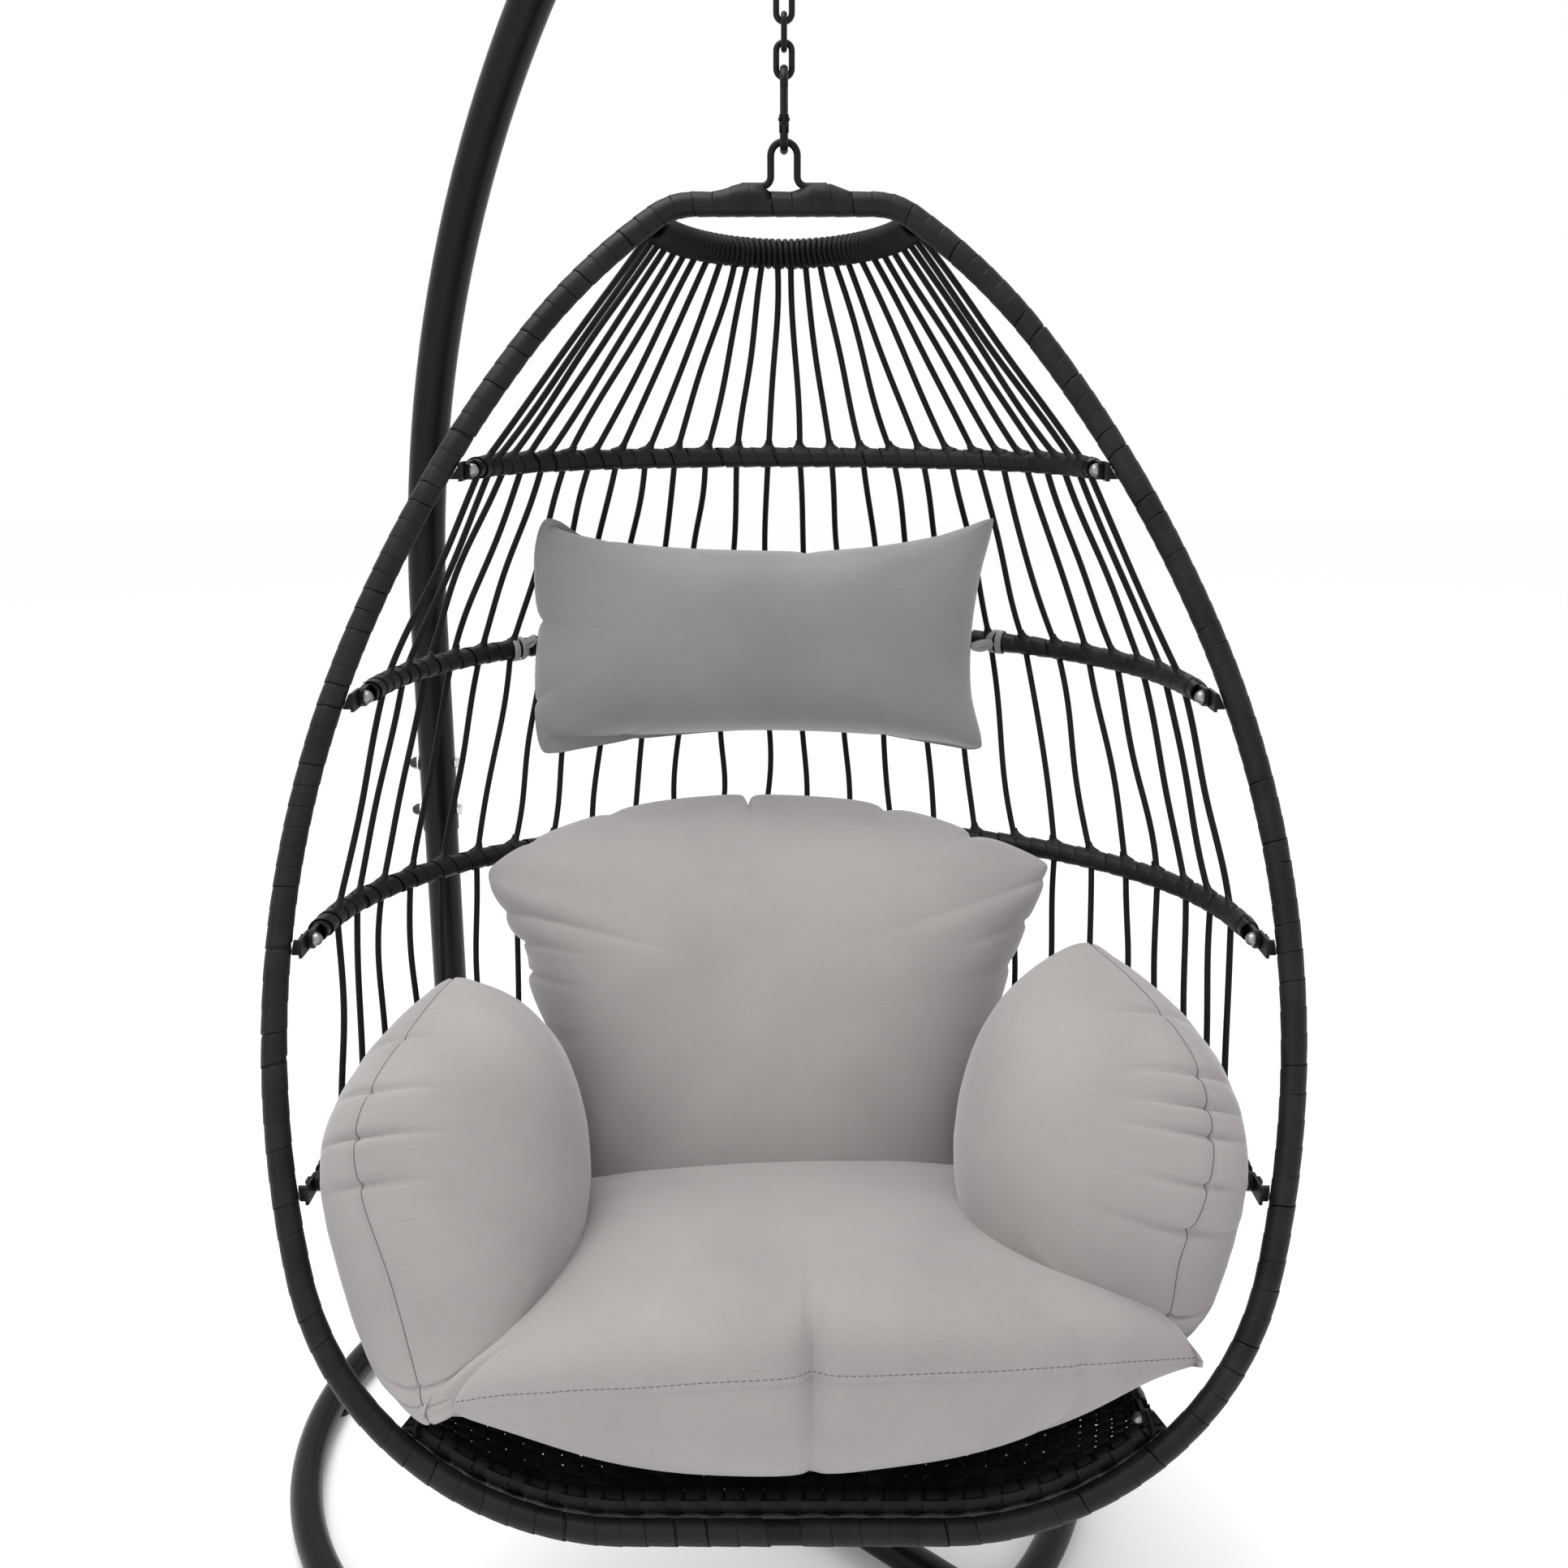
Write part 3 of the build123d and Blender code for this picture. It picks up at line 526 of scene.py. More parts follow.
def rim_swell(centre, angle):
    """The strip rises over the two feet of the hanging loop."""
    across = np.abs(centre[:, 0])
    near_top = (centre[:, 2] > RIM_TOP - 30).astype(float)
    begins, ends = LOOP_FOOT
    rise = np.clip((across - begins) / 9, 0, 1) * np.clip((ends - across) / 22, 0, 1)
    return LOOP_FOOT_RISE * rise * near_top * upward_on_rim(angle)


def build_rim_wrap():
    mesh = Mesh()
    length = RIM_COURSE.length
    lower = length * LOWER_SHARE
    parts = ((2, lower, LOWER_PITCH), (lower, length - lower, UPPER_PITCH),
             (length - lower, length - 30, LOWER_PITCH))
    for number, (first, last, pitch) in enumerate(parts):
        section = strip_section(RIM_TUBE_RADIUS + 0.4, pitch * STRIP_OVERLAP)
        wind(mesh, RIM_COURSE, first, last, pitch, section, 26, 2.2, rim_swell, number, level=0.75)
    piece = mesh.piece("rim_strip", "rattan", "basket", "rattan")
    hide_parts("rim_wrap_top", "rim_wrap_upper_left", "rim_wrap_upper_right", "rim_wrap_lower_left",
                "rim_wrap_lower_right")


def build_bar_wraps():
    for number, (name, (down, depth)) in enumerate(BARS.items()):
        course = bar_course(down, depth)
        mesh = Mesh()
        section = strip_section(BAR_TUBE_RADIUS + 0.2, BAR_PITCH * STRIP_OVERLAP, 0.75)
        wind(mesh, course, 0, course.length - LAST_TURN, BAR_PITCH, section, wander=1.8, seed=20 + number,
             level=0.3)
        piece = mesh.piece(f"{name}_strip", "rattan", name, "rattan")
        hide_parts(f"{name}_wrap")


def build_rear_arc():
    course = Course([arc_point(angle) for angle in np.linspace(0.06, pi - 0.06, 120)])
    mesh = Mesh()
    section = round_section(ARC_CORD_RADIUS, ARC_CORE)
    wind(mesh, course, 0, course.length - 8, ARC_CORD_PITCH, section, per_turn=18, wander=0.35, seed=31)
    piece = mesh.piece("rear_arc_coil", "cord", "basket", "cord")
    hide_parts("rear_arc_winding")


# ---------------------------------------------------------------- cords

def cord_angle(number):
    return radians(FIRST_CORD_ANGLE + (180 - 2 * FIRST_CORD_ANGLE) * number / (CORDS - 1))


def cord_points(start, end, lateral, random, amount):
    """A laced cord: nearly straight, with small bends to the side and in depth."""
    share = np.linspace(0, 1, 21)
    line = start + (end - start) * share[:, None]
    depth = unit(np.cross(end - start, lateral))
    for waves, size in ((1, 3.2), (2, 2.2), (3, 1.3)):
        curve = np.sin(waves * pi * share)[:, None]
        bend = lateral * random.normal(0, size) + depth * random.normal(0, size * 0.5)
        line = line + curve * bend * amount
    return line


def build_cords(name, upper, lower, body, amount, seed):
    random = np.random.default_rng(seed)
    mesh = Mesh()
    for number in range(CORDS):
        angle = cord_angle(number)
        start = upper(angle)
        end = lower(angle)
        lateral = unit(upper(angle + 0.01) - upper(angle - 0.01))
        course = Course(cord_points(start, end, lateral, random, amount), first_normal=(0.1, 0.95, 0.3))
        distance = np.linspace(5, course.length - 5, 33)
        mesh.sweep(circle_rings(course, distance, CORD_RADIUS, 10))
    piece = mesh.piece(name + "_soft", "cord", body, "cord")
    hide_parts(name)
    return piece


def build_tents(name, upper, lower, body):
    """Where a cord goes into a bar from above, the strip rises round it in a small tent."""
    mesh = Mesh()
    for number in range(CORDS):
        angle = cord_angle(number)
        end = lower(angle)
        along = unit(upper(angle) - end)
        lateral = unit(lower(angle + 0.01) - lower(angle - 0.01))
        course = Course([end + along * d for d in (0, 6, 12, 18, 24)], first_normal=np.cross(along, lateral))
        distance = np.array([4.0, 8.0, 10.5, 13.0, 16.0, 19.0])
        width = np.array([13.0, 11.5, 8.5, 5.6, 4.2, 3.7])
        mesh.sweep(circle_rings(course, distance, width, 12, 0.62))
    mesh.piece(name, "rattan", body, "rattan")


def squash_to_rim(piece):
    """Gives the piece its own copy of its mesh data."""
    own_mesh(piece)


def bar_points(name):
    down, depth = BARS[name]
    return lambda angle: bar_point(down, depth, angle)


def build_all_cords():
    names = list(BARS)
    first = build_cords("cords_arc_to_bar_1", arc_point, bar_points("bar_1"), None, 0.6, 41)
    end = place(bar_points("bar_1")(pi / 2))
    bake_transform(first)
    build_tents("bar_1_tents", arc_point, bar_points("bar_1"), "bar_1")
    for number, (upper, lower) in enumerate(zip(names, names[1:])):
        piece = build_cords(f"cords_{upper}_to_{lower}", bar_points(upper), bar_points(lower), "basket", 0.75,
                            42 + number)
        squash_to_rim(piece)
        build_tents(f"{lower}_tents", bar_points(upper), bar_points(lower), lower)
    piece = build_cords("cords_bar_4_to_seat", bar_points("bar_4"), seat_back_point, "basket", 0.5, 50)
    squash_to_rim(piece)
    build_tents("seat_tents", bar_points("bar_4"), seat_back_point, "seat")


# ---------------------------------------------------------------- woven seat

WARPS = 40
WEFTS = 22
STEPS_PER_CROSSING = 6
WEAVE_RISE = 1.3  # how far a strip rises over the one that it crosses
WEAVE_THICKNESS = 1.2
RAIL_COVER = 12.0  # from the middle of the front rail to the strips that go round it
RAIL_STRIP_RISE = 1.1
RAIL_STRIP_WIDTH = 10.5
SEAT_FRONT = Course(seat_front_points())
SEAT_BACK = bar_course(SEAT_DOWN, SEAT_DEPTH, SEAT_DROOP)


def seat_surface(across, back):
    """A point of the woven sheet: 0 to 1 from right to left, and 0 to 1 from the front rail to the back."""
    front = SEAT_FRONT.read(np.asarray(across) * SEAT_FRONT.length)[0]
    rear = SEAT_BACK.read(np.asarray(across) * SEAT_BACK.length)[0]
    back = np.asarray(back)[..., None]
    return front * (1 - back) + rear * back


def ribbon(mesh, centre, width_direction, width, thick):
    """Adds a flat strip along a line of points."""
    along = unit(np.gradient(centre, axis=0))
    across = unit(width_direction - along * np.sum(width_direction * along, axis=1, keepdims=True))
    normal = np.cross(along, across)
    half = width[:, None] / 2 * across
    lift = thick / 2 * normal
    rings = np.stack([centre - half, centre - half * 0.6 + lift, centre + half * 0.6 + lift, centre + half,
                      centre + half * 0.6 - lift, centre - half * 0.6 - lift], axis=1)
    mesh.sweep(rings)


def filled_share(random):
    """How much of its place a strip fills: most fill nearly all of it, and a few leave a sliver open."""
    return 1.0 - 0.13 * random.random() ** 2


def around_rail(rail_up, rail_back, angle):
    """A direction round the front rail: 0 points ahead and a quarter turn points up."""
    return np.cos(angle) * -rail_back + np.sin(angle) * rail_up


def weave_across(mesh, random):
    """The strips that run from side to side."""
    share = np.linspace(0.004, 0.996, WARPS * STEPS_PER_CROSSING)
    full_width = seat_surface(share, np.ones_like(share)) - seat_surface(share, 0 * share)
    width = np.linalg.norm(full_width, axis=1)
    for row in range(WEFTS):
        back = (row + 0.5) / WEFTS
        centre = seat_surface(share, np.full_like(share, back))
        ahead = seat_surface(share, np.full_like(share, back - 0.01))
        up = unit(np.cross(np.gradient(centre, axis=0), centre - ahead))
        over = np.sin(pi * (share * WARPS + row))[:, None]
        line = centre + up * over * WEAVE_RISE
        ribbon(mesh, line, centre - ahead, width / WEFTS * filled_share(random), WEAVE_THICKNESS)


def weave_along(mesh, random):
    """The strips that come round the front rail and run to the back."""
    wrap_angle = np.radians(np.linspace(-130, 75, 14))[:, None]
    back = np.linspace(0.06, 1.0, WEFTS * STEPS_PER_CROSSING)
    for column in range(WARPS):
        at = (column + 0.5) / WARPS
        centre = seat_surface(np.full_like(back, at), back)
        beside = seat_surface(np.full_like(back, at - 0.01), back)
        up = unit(np.cross(centre - beside, np.gradient(centre, axis=0)))
        gap = np.linalg.norm(centre - beside, axis=1) / 0.01 / WARPS
        over = np.cos(pi * (back * WEFTS + column - 0.5) + pi / 2)[:, None]
        rail, rail_up, rail_back = SEAT_FRONT.read(np.array([at * SEAT_FRONT.length]))
        round_rail = rail + RAIL_COVER * around_rail(rail_up, rail_back, wrap_angle)
        line = np.concatenate([round_rail, centre + up * over * WEAVE_RISE])
        width = np.concatenate([np.full(len(round_rail), gap[0]), gap]) * filled_share(random)
        sideways = np.concatenate([np.broadcast_to(centre[0] - beside[0], round_rail.shape), centre - beside])
        ribbon(mesh, line, sideways, width, WEAVE_THICKNESS)


def weave_rail(mesh):
    """Three strips that run along the front rail, in and out of the ones that go round it."""
    distance = np.linspace(14, SEAT_FRONT.length - 14, WARPS * STEPS_PER_CROSSING)
    rail, rail_up, rail_back = SEAT_FRONT.read(distance)
    for number, degrees in enumerate((-95, -40, 15)):
        angle = radians(degrees)
        over = np.sin(pi * (distance / SEAT_FRONT.length * WARPS + number))[:, None]
        line = rail + (RAIL_COVER + RAIL_STRIP_RISE * over) * around_rail(rail_up, rail_back, angle)
        sideways = np.sin(angle) * rail_back + np.cos(angle) * rail_up
        ribbon(mesh, line, sideways, np.full(len(line), RAIL_STRIP_WIDTH), WEAVE_THICKNESS)


def build_weave():
    random = np.random.default_rng(60)
    mesh = Mesh()
    weave_across(mesh, random)
    weave_along(mesh, random)
    weave_rail(mesh)
    piece = mesh.piece("seat_woven_strips", "rattan", "seat", "rattan")
    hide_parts("seat_weave")
    rails = Mesh()
    wind(rails, SEAT_BACK, 0, SEAT_BACK.length - 18, 17.0, strip_section(9.6, 18.0, 0.7), wander=1.5, seed=62)
    rails.piece("seat_rail_strips", "rattan", "seat", "rattan")


# ---------------------------------------------------------------- cushions

SEAM_POINTS = 320
RINGS = 34  # rows of points from the heart of each half to the seam
SEAM_ROW = RINGS - 1
BESIDE_SEAM = SEAM_ROW - 2
RIPPLE = 0.4
STITCH = 4.4  # length of one stitch
STITCH_PITCH = 6.2
SEAM_THREAD_RADIUS = 0.6
TAPER_SPREAD = 1.9  # how much wider the taper at a corner is than the pinch there
WEAVE_CLEAR = 5.0
CAGE_CLEAR = 14.0  # from the middle of the bars to the cloth
PLACES = np.arange(SEAM_POINTS) / SEAM_POINTS  # places round a seam, of length 1


def closed_curve(points, count):
    """A smooth closed line through points, by Catmull-Rom; a point given twice makes a corner."""
    points = np.asarray(points, float)
    place_round = np.arange(count) * len(points) / count
    whole = place_round.astype(int)
    t = (place_round - whole)[:, None]
    before, here, after, beyond = (points[(whole + shift) % len(points)] for shift in (-1, 0, 1, 2))
    return 0.5 * (2 * here + (after - before) * t + (2 * before - 5 * here + 4 * after - beyond) * t**2
                  + (3 * here - before - 3 * after + beyond) * t**3)


def around(places, at):
    """Signed distance round a loop of length 1."""
    return (places - at + 0.5) % 1 - 0.5


def weave_height(points):
    """The height of the woven seat under each point, from its nearest point seen from above."""
    across, back = np.meshgrid(np.linspace(0, 1, 61), np.linspace(0, 1, 25))
    sheet = seat_surface(across.ravel(), back.ravel())
    heights = []
    for group in np.array_split(points, 40):
        away = (group[:, None, 0] - sheet[None, :, 0]) ** 2 + (group[:, None, 1] - sheet[None, :, 1]) ** 2
        heights.append(sheet[np.argmin(away, axis=1), 2])
    return np.concatenate(heights)


def inside_cage(points):
    """The points, with those beyond the cords and bars moved in to lie against them."""
    levels = []
    for down, depth in [(SEAT_DOWN, SEAT_DEPTH), *reversed(BARS.values())]:
        start = rim_point(0, down) + np.array([0, PIVOT_BEHIND + EAR_LENGTH, 0])
        half_width = rim_half_width(down) - EAR_INSIDE - CAGE_CLEAR
        levels.append((start[2], start[1], half_width, depth - PIVOT_BEHIND - EAR_LENGTH - CAGE_CLEAR))
    height, start, half_width, reach = np.array(levels).T
    start = np.interp(points[:, 2], height, start)
    half_width = np.interp(points[:, 2], height, half_width)
    reach = np.interp(points[:, 2], height, reach)
    half_width = half_width + np.maximum(start - points[:, 1], 0)  # it opens out ahead of the bars' pivots
    behind = np.maximum(points[:, 1] - start, 0)
    beyond = np.maximum(np.sqrt((points[:, 0] / half_width) ** 2 + (behind / reach) ** 2), 1)
    moved = points.copy()
    moved[:, 0] /= beyond
    moved[:, 1] -= behind - behind / beyond
    return moved


class CushionForm:
    """A closed crowned form inside a seam loop, bulging both ways along out.

    Its middle surface is the smoothest one that fits the loop. corners are (point of the seam, width) where
    the form pinches flat, and tucks are (point of the seam, depth, width, shortness) where cloth is gathered.
    A squareness of 2 gives a round crown, and more gives a flatter one with fuller sides. taper thins the
    back half towards the corners, belly pushes it forward, and groove is how deep the seam lies.
    """

    def __init__(self, seam, out, corners, tucks, squareness, pinch=0.3, taper=0.0, lift=(0, 0, 0),
                 belly=0.0, groove=2.4):
        self.loop = closed_curve(seam, SEAM_POINTS)
        self.out = unit(out)
        self.tucks = [(at / len(seam), depth, width, shortness) for at, depth, width, shortness in tucks]
        self.squareness = squareness
        self.lift = np.asarray(lift, float)
        self.belly = belly
        self.groove = groove
        self.middle = self.loop.mean(axis=0)
        self.outward = unit(self.loop - self.middle)
        self.forward = np.clip(-self.outward[:, 1], 0, 1)[:, None] * self.outward
        self.flat = np.ones(SEAM_POINTS)
        self.thin = np.ones(SEAM_POINTS)
        for at, width in corners:
            away = around(PLACES, at / len(seam))
            self.flat -= pinch * np.exp(-(away / width) ** 2)
            self.thin -= taper * np.exp(-(away / (TAPER_SPREAD * width)) ** 2)

    def inside(self, reach):
        """The middle surface at a share of the way from its heart to the seam."""
        waves = np.fft.fft(self.loop, axis=0)
        order = np.abs(np.fft.fftfreq(SEAM_POINTS) * SEAM_POINTS)[:, None]
        return np.real(np.fft.ifft(waves * reach**order, axis=0)) + (1 - reach**2) * self.lift

    def gathered(self, reach):
        """How deep the tucks are at a share of the way out."""
        total = np.zeros(SEAM_POINTS)
        for at, depth, width, shortness in self.tucks:
            total += depth * reach**shortness * np.exp(-np.abs(around(PLACES, at)) / width)
        return total

    def wobble(self, random):
        """Small waves along the seam, where the fill pushes the cloth out unevenly."""
        total = np.zeros(SEAM_POINTS)
        for waves in range(6, 26):
            total += random.normal(0, RIPPLE) * np.sin(2 * pi * (waves * PLACES + random.random()))
        return total

    def half(self, side, height, random):
        """The rows of one half, from its heart to the seam; side is 1 in front and -1 behind."""
        wobble = self.wobble(random)
        rows = []
        for ring in range(1, RINGS):
            angle = pi / 2 * ring / RINGS
            reach = sin(angle) ** (2 / self.squareness)
            inside = self.inside(reach)
            near_seam = reach**5
            rise = height * cos(angle) * (1 - (1 - self.flat) * near_seam)
            bulge = side * (rise + wobble * near_seam * cos(angle) ** 0.5)
            if side < 0:
                bulge = bulge * (1 - (1 - self.thin) * reach)
                inside = inside + self.belly * sin(2 * angle) * self.forward * self.thin[:, None]
            facing = side * cos(angle) * self.out + sin(angle) * self.outward
            rows.append(inside + bulge[:, None] * self.out - self.gathered(reach)[:, None] * facing)
        return rows

    def rows(self, front, back, random):
        """All rows, from the heart in front over the seam to the heart behind."""
        ahead = self.half(1, front, random)
        behind = self.half(-1, back, random)
        seam = self.loop - self.outward * (self.groove + self.gathered(1))[:, None]
        return ahead + [seam] + behind[::-1]

    def uvs(self, points, rows):
        """Flat coordinates of the cloth, seen along out, with the sides folded out by their depth."""
        if abs(self.out[2]) < 0.9:
            wide = unit(np.cross(self.out, (0, 0, 1)))
        else:
            wide = np.array([1.0, 0, 0])
        depth = np.maximum((np.concatenate([self.loop] * rows + [self.loop[:2]]) - points) @ self.out, 0)
        return np.stack([points @ wide, points @ np.cross(wide, self.out) + depth], axis=-1)


def closed_faces(rows, count):
    """Faces between closed rows of points, with a fan to one more point at each end."""
    index = np.arange(rows * count).reshape(rows, count)
    near, far = index[:-1], index[1:]
    faces = np.stack([near, far, np.roll(far, -1, 1), np.roll(near, -1, 1)], axis=-1).reshape(-1, 4).tolist()
    first, last = rows * count, rows * count + 1
    faces += [(first, index[0][k], index[0][(k + 1) % count]) for k in range(count)]
    faces += [(last, index[-1][(k + 1) % count], index[-1][k]) for k in range(count)]
    return faces


def cushion(name, form, front, back, seed, material="cushion"):
    """Makes a cushion of a form that rises by front and back from its middle surface.

    Returns the piece and its rows of points, of which number SEAM_ROW is the seam.
    """
    rows = form.rows(front, back, np.random.default_rng(seed))
    heart = form.middle + form.lift
    ends = [[heart + form.out * front], [heart - form.out * back]]
    points = inside_cage(np.concatenate([np.array(rows).reshape(-1, 3), *ends]))
    if name == "seat_cushion":
        points[:, 2] = np.maximum(points[:, 2], weave_height(points) + WEAVE_CLEAR)
    faces = closed_faces(len(rows), SEAM_POINTS)
    uvs = form.uvs(points, len(rows))
    piece = mesh_piece(name + "_soft", points, faces, material, "basket", uvs)
    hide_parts(name)
    return piece, points[:-len(ends)].reshape(-1, SEAM_POINTS, 3)


def stitches(name, beside, first, last):
    """A row of short threads on the cloth beside a seam, over part of the loop."""
    course = Course(np.concatenate([beside, beside[:1]]), first_normal=(0.3, 0.2, 0.9))
    mesh = Mesh()
    thread = np.array([0.0, 0.6, STITCH / 2, STITCH - 0.6, STITCH])
    radius = np.array([0.2, 0.38, 0.42, 0.38, 0.2])
    count = int(course.length / STITCH_PITCH)
    for number in range(int(first * count), int(last * count)):
        mesh.sweep(circle_rings(course, number * STITCH_PITCH + thread, radius, 6))
    return mesh.piece(name, "thread", "basket", None)


def seam_thread(name, seam_line):
    """The dark line of a closed seam."""
    course = Course(np.concatenate([seam_line, seam_line[:1]]), first_normal=(0.3, 0.2, 0.9))
    mesh = Mesh()
    mesh.sweep(circle_rings(course, np.linspace(1, course.length - 1, 900), SEAM_THREAD_RADIUS, 6))
    return mesh.piece(name, "thread", "basket", None)


def build_seat_cushion():
    seam = [(-322, -425, 437), (-322, -425, 437), (-240, -452, 468), (-140, -468, 486), (-20, -476, 500),
            (110, -472, 503), (225, -460, 500), (310, -430, 486), (376, -400, 470), (376, -400, 470),
            (372, -300, 446), (345, -180, 438), (290, -80, 446), (150, -48, 480), (0, -40, 490),
            (-150, -48, 480), (-290, -80, 440), (-335, -180, 428), (-345, -300, 430)]
    corners = ((0.5, 0.04), (8.5, 0.045))
    tucks = ((4.35, 21.0, 0.0035, 3), (1.3, 10.0, 0.004, 5), (6.45, 8.0, 0.004, 6), (0.9, 6.0, 0.003, 5))
    form = CushionForm(seam, (0, -0.1, 1), corners, tucks, 3.0, taper=0.92, lift=(0, 0, 4), belly=20,
                       groove=1.2)
    piece, rows = cushion("seat_cushion", form, 88, 138, seed=5)
    front_end = 9 / len(seam)
    corner = 0.012  # bare stretch of the seam beside each front corner
    return [piece, stitches("seat_cushion_stitches", rows[BESIDE_SEAM], corner, front_end - corner)]


def build_back_cushion():
    seam = [(-323, -9, 798), (-315, 2, 820), (-255, 52, 843), (-160, 106, 857), (-60, 112, 866),
            (-42, 111, 860), (-20, 112, 866), (100, 106, 859), (202, 69, 840), (281, 26, 818), (292, 10, 802),
            (275, -2, 763), (254, -8, 705), (222, -56, 622), (190, -115, 530), (180, -135, 480),
            (90, -146, 470), (-10, -148, 468), (-110, -146, 470), (-205, -135, 480), (-216, -115, 520),
            (-244, -62, 608), (-280, -25, 682), (-284, -14, 718), (-307, -14, 756)]
    corners = ((0.5, 0.03), (9.5, 0.03), (15, 0.03), (19, 0.03))
    tucks = ((5, 9.0, 0.004, 7), (11.2, 8.0, 0.003, 8), (12.0, 7.0, 0.003, 9), (22.4, 8.0, 0.003, 8),
             (23.4, 9.0, 0.004, 6), (7.2, 10.0, 0.004, 9), (8.2, 12.0, 0.004, 9), (2.6, 6.0, 0.003, 9),
             (13.0, 6.0, 0.003, 9), (1.6, 5.0, 0.003, 10), (21.3, 5.0, 0.003, 9), (24.3, 9.0, 0.011, 2.4),
             (10.1, 6.0, 0.009, 2.8))
    form = CushionForm(seam, (0, -0.88, 0.42), corners, tucks, 2.6)
    return [cushion("back_cushion", form, 84, 46, seed=6)[0]]


def build_arm_cushion(side):
    """One arm's cushion; side is 1 for the right arm and -1 for the left.

    The right one sits a little higher and further in, and its lower tip ends behind the seat's corner.
    """
    name = "arm_cushion_left" if side < 0 else "arm_cushion_right"
    rise, inward, tip = (34, 16, 42) if side > 0 else (0, 0, 0)
    seam = [(-326 + inward * 1.6, -176, 752 + rise), (-334 + inward * 1.4, -196, 758 + rise),
            (-354 + inward * 0.4, -250, 742 + rise * 0.8), (-378, -318, 714 + rise * 0.6), (-392, -350, 672),
            (-384, -368, 618), (-356 - tip * 0.2, -392 + tip * 0.5, 545 + tip * 0.4),
            (-332 - tip * 0.6, -418 + tip, 470 + tip), (-322 - tip * 0.6, -432 + tip, 440 + tip),
            (-312 - tip * 0.6, -428 + tip, 432 + tip),
            (-288 + inward, -340, 440 + tip * 0.4), (-258 + inward, -230, 460), (-262 + inward, -130, 520),
            (-286 + inward, -80, 600), (-306 + inward, -110, 690)]
    seam = [(-side * x, y, z) for x, y, z in seam]
    corners = ((0.5, 0.06), (8.5, 0.05))
    tucks = [(3.2, 8.0, 0.003, 16), (4.0, 10.0, 0.003, 15), (4.8, 8.0, 0.003, 18), (7.3, 8.0, 0.003, 14),
             (7.8, 6.0, 0.003, 15), (2.3, 6.0, 0.003, 18)]
    if side > 0:
        tucks += [(3.6, 9.0, 0.003, 17), (5.6, 10.0, 0.0035, 12)]
    form = CushionForm(seam, (-side * 0.95, -0.12, 0.22), corners, tucks, 2.3, pinch=0.35, groove=3.0)
    piece, rows = cushion(name, form, 120 + inward, 86, seed=8 + side)
    return [piece, seam_thread(name + "_seam", rows[SEAM_ROW])]


def build_pillow():
    seam = [(-296, 96, 1180), (-270, 98, 1184), (-240, 110, 1167), (-150, 132, 1150), (-34, 140, 1144),
            (80, 134, 1146), (175, 112, 1164), (222, 94, 1184), (229, 96, 1176), (219, 112, 1120),
            (213, 125, 1055), (215, 130, 985), (228, 122, 930), (222, 126, 918), (180, 145, 921),
            (80, 162, 928), (-36, 168, 930), (-150, 162, 926), (-250, 145, 922), (-290, 124, 920),
            (-303, 120, 929), (-290, 130, 985), (-281, 125, 1055), (-286, 112, 1120)]
    corners = ((0.5, 0.03), (7.5, 0.03), (12.5, 0.03), (19.5, 0.03))
    tucks = ((4.6, 8.0, 0.004, 6), (2.4, 8.0, 0.004, 5), (17.4, 6.0, 0.004, 7), (14.6, 5.0, 0.004, 8),
             (22.2, 9.0, 0.006, 7), (20.7, 6.0, 0.005, 6), (6.2, 5.0, 0.004, 8))
    form = CushionForm(seam, (0, -0.97, 0.22), corners, tucks, 3.0, pinch=0.2, groove=1.5)
    return [cushion("head_pillow", form, 66, 50, seed=12, material="pillow")[0]]


TIE_WIDTH = 8.0
TIE_THICKNESS = 1.4
TIE_RING_CLEAR = 3.5  # from the bar's tube to the middle of the strap round it
TIE_KNOT_CLEAR = 5.0


def tie_band(mesh, line, width_direction):
    """Adds one length of a tie's strap."""
    width = np.full(len(line), TIE_WIDTH)
    ribbon(mesh, line, np.broadcast_to(width_direction, line.shape), width, TIE_THICKNESS)


def build_pillow_tie(side, share, edge):
    """A strap from one end of the pillow, tied round bar 2 at a share of the bar's length."""
    course = bar_course(*BARS["bar_2"])
    centre, up, back = (row[0] for row in course.read(np.array([course.length * share])))
    along = np.cross(up, back)
    mesh = Mesh()
    for shift, tilt in ((-4, 2.0), (3, -2.4)):
        angle = np.linspace(0, 2 * pi, 40)[:, None]
        round_bar = (BAR_TUBE_RADIUS + TIE_RING_CLEAR) * (np.cos(angle) * up + np.sin(angle) * back)
        tie_band(mesh, centre + along * (shift + tilt * np.sin(angle)) + round_bar, along)
    edge = np.array(edge, float)
    knot = centre - unit(centre - edge) * (BAR_TUBE_RADIUS + TIE_KNOT_CLEAR)
    strap_share = np.linspace(0, 1, 20)[:, None]
    for sag in (-4, 2):
        strap = knot + (edge - knot) * strap_share + np.array([0, -1, sag]) * np.sin(pi * strap_share)
        tie_band(mesh, strap, (0, 0.5, 0.86))
    return mesh.piece(f"pillow_tie_{side}", "pillow", "basket", "pillow_fabric")


def build_cushions():
    pieces = build_seat_cushion() + build_back_cushion() + build_arm_cushion(-1) + build_arm_cushion(1)
    pieces += build_pillow()
    pieces.append(build_pillow_tie("left", 0.776, (-280, 112, 1050)))
    pieces.append(build_pillow_tie("right", 0.284, (212, 112, 1040)))
    for piece in pieces:
        squash_to_rim(piece)


# ---------------------------------------------------------------- CAD nodes that stay

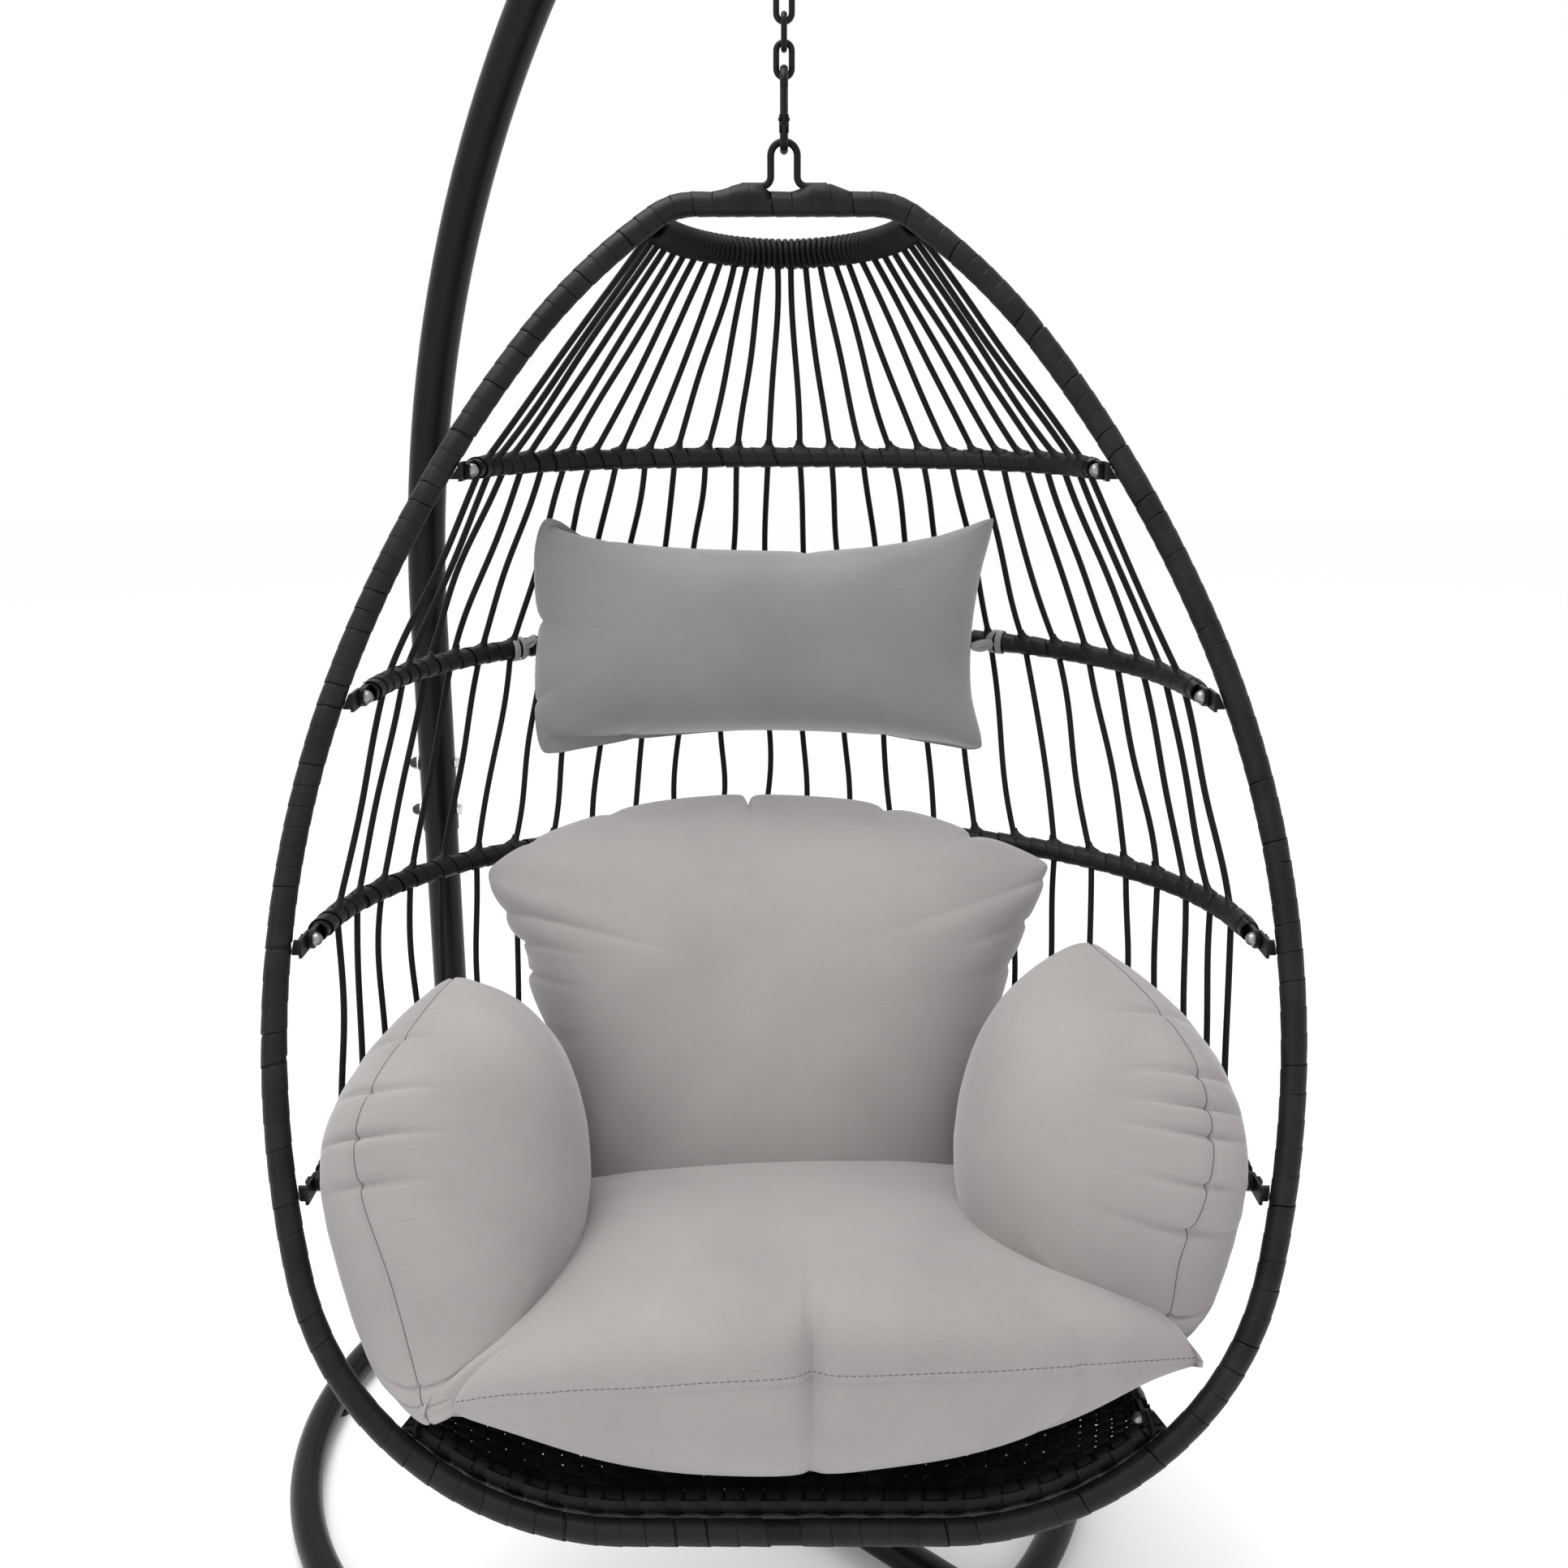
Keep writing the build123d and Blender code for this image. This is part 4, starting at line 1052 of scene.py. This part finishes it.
CAD_MATERIALS = {
    "stand": ("arm_upper", "pole_lower", "base_ring_left", "base_ring_right", "base_crossbar",
              "base_joint_sleeve", "base_socket", "base_gusset"),
    "chain": ("chain_top_link", "chain_upper_links", "chain_lower_links", "hook_body", "hook_gate",
              "hook_gate_pin", "arm_eye"),
    "frame": ("rim_tube", "rear_arc_tube", "pivot_tabs", "pivot_nuts", "hanging_loop", "seat_front_rail",
              "seat_back_rail", "bar_1_tube", "bar_2_tube", "bar_3_tube", "bar_4_tube"),
    "nickel": ("pivot_bolts",),
    "steel": ("pole_bolts", "pole_washers", "arm_eye_nut"),
    "cap": ("pole_cap_nuts",),
    "plug": ("arm_end_cap",),
    "rubber": ("base_feet",),
}


def paint_cad_nodes():
    for material, names in CAD_MATERIALS.items():
        for name in names:
            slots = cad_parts[name].data.materials
            slots.clear()
            slots.append(MATERIALS[material])


# ---------------------------------------------------------------- studio

CAMERA = (0, -1645, 1350)
CAMERA_PITCH = 15.0  # degrees down
LENS = 36.09
SENSOR = 36.0
FLOOR_HALF = 12.0  # metres


def build_camera():
    data = bpy.data.cameras.new("camera")
    data.lens = LENS
    data.sensor_width = SENSOR
    camera = bpy.data.objects.new("camera", data)
    camera.location = place(CAMERA)
    camera.rotation_euler = (radians(90 - CAMERA_PITCH), 0, 0)
    bpy.context.collection.objects.link(camera)
    bpy.context.scene.camera = camera


def area_light(name, position, target, size, power):
    data = bpy.data.lights.new(name, "AREA")
    data.shape = "RECTANGLE"
    data.size, data.size_y = size
    data.energy = power
    light = bpy.data.objects.new(name, data)
    light.location = position
    aim = Vector(target) - Vector(position)
    light.rotation_euler = aim.to_track_quat("-Z", "Y").to_euler()
    bpy.context.collection.objects.link(light)


def build_studio():
    world = bpy.data.worlds.new("studio")
    world.use_nodes = True
    background = world.node_tree.nodes["Background"]
    background.inputs["Color"].default_value = (1, 1, 1, 1)
    background.inputs["Strength"].default_value = 1.0
    bpy.context.scene.world = world
    bpy.context.scene.view_settings.view_transform = "Standard"
    area_light("overhead", (-0.5, -0.35, 3.4), (0, -0.3, 0.5), (2.2, 1.8), 70)
    area_light("front", (-1.6, -2.8, 1.8), (0, -0.1, 0.8), (1.4, 1.4), 8)

    material = new_material("floor", (0.985, 0.985, 0.985), 0.95, Specular_IOR_Level=0.0)
    add_bump(material, noise(material, 30.0), "Fac", 0.0005, 0.1)
    mesh = bpy.data.meshes.new("floor")
    corners = [(FLOOR_HALF * x, FLOOR_HALF * y, 0) for x, y in ((-1, -1), (1, -1), (1, 1), (-1, 1))]
    mesh.from_pydata(corners, [], [(0, 1, 2, 3)])
    mesh.materials.append(material)
    floor = bpy.data.objects.new("floor", mesh)
    bpy.context.collection.objects.link(floor)


build_camera()
build_studio()
paint_cad_nodes()
build_rim_wrap()
build_bar_wraps()
build_rear_arc()
build_all_cords()
build_weave()
build_cushions()
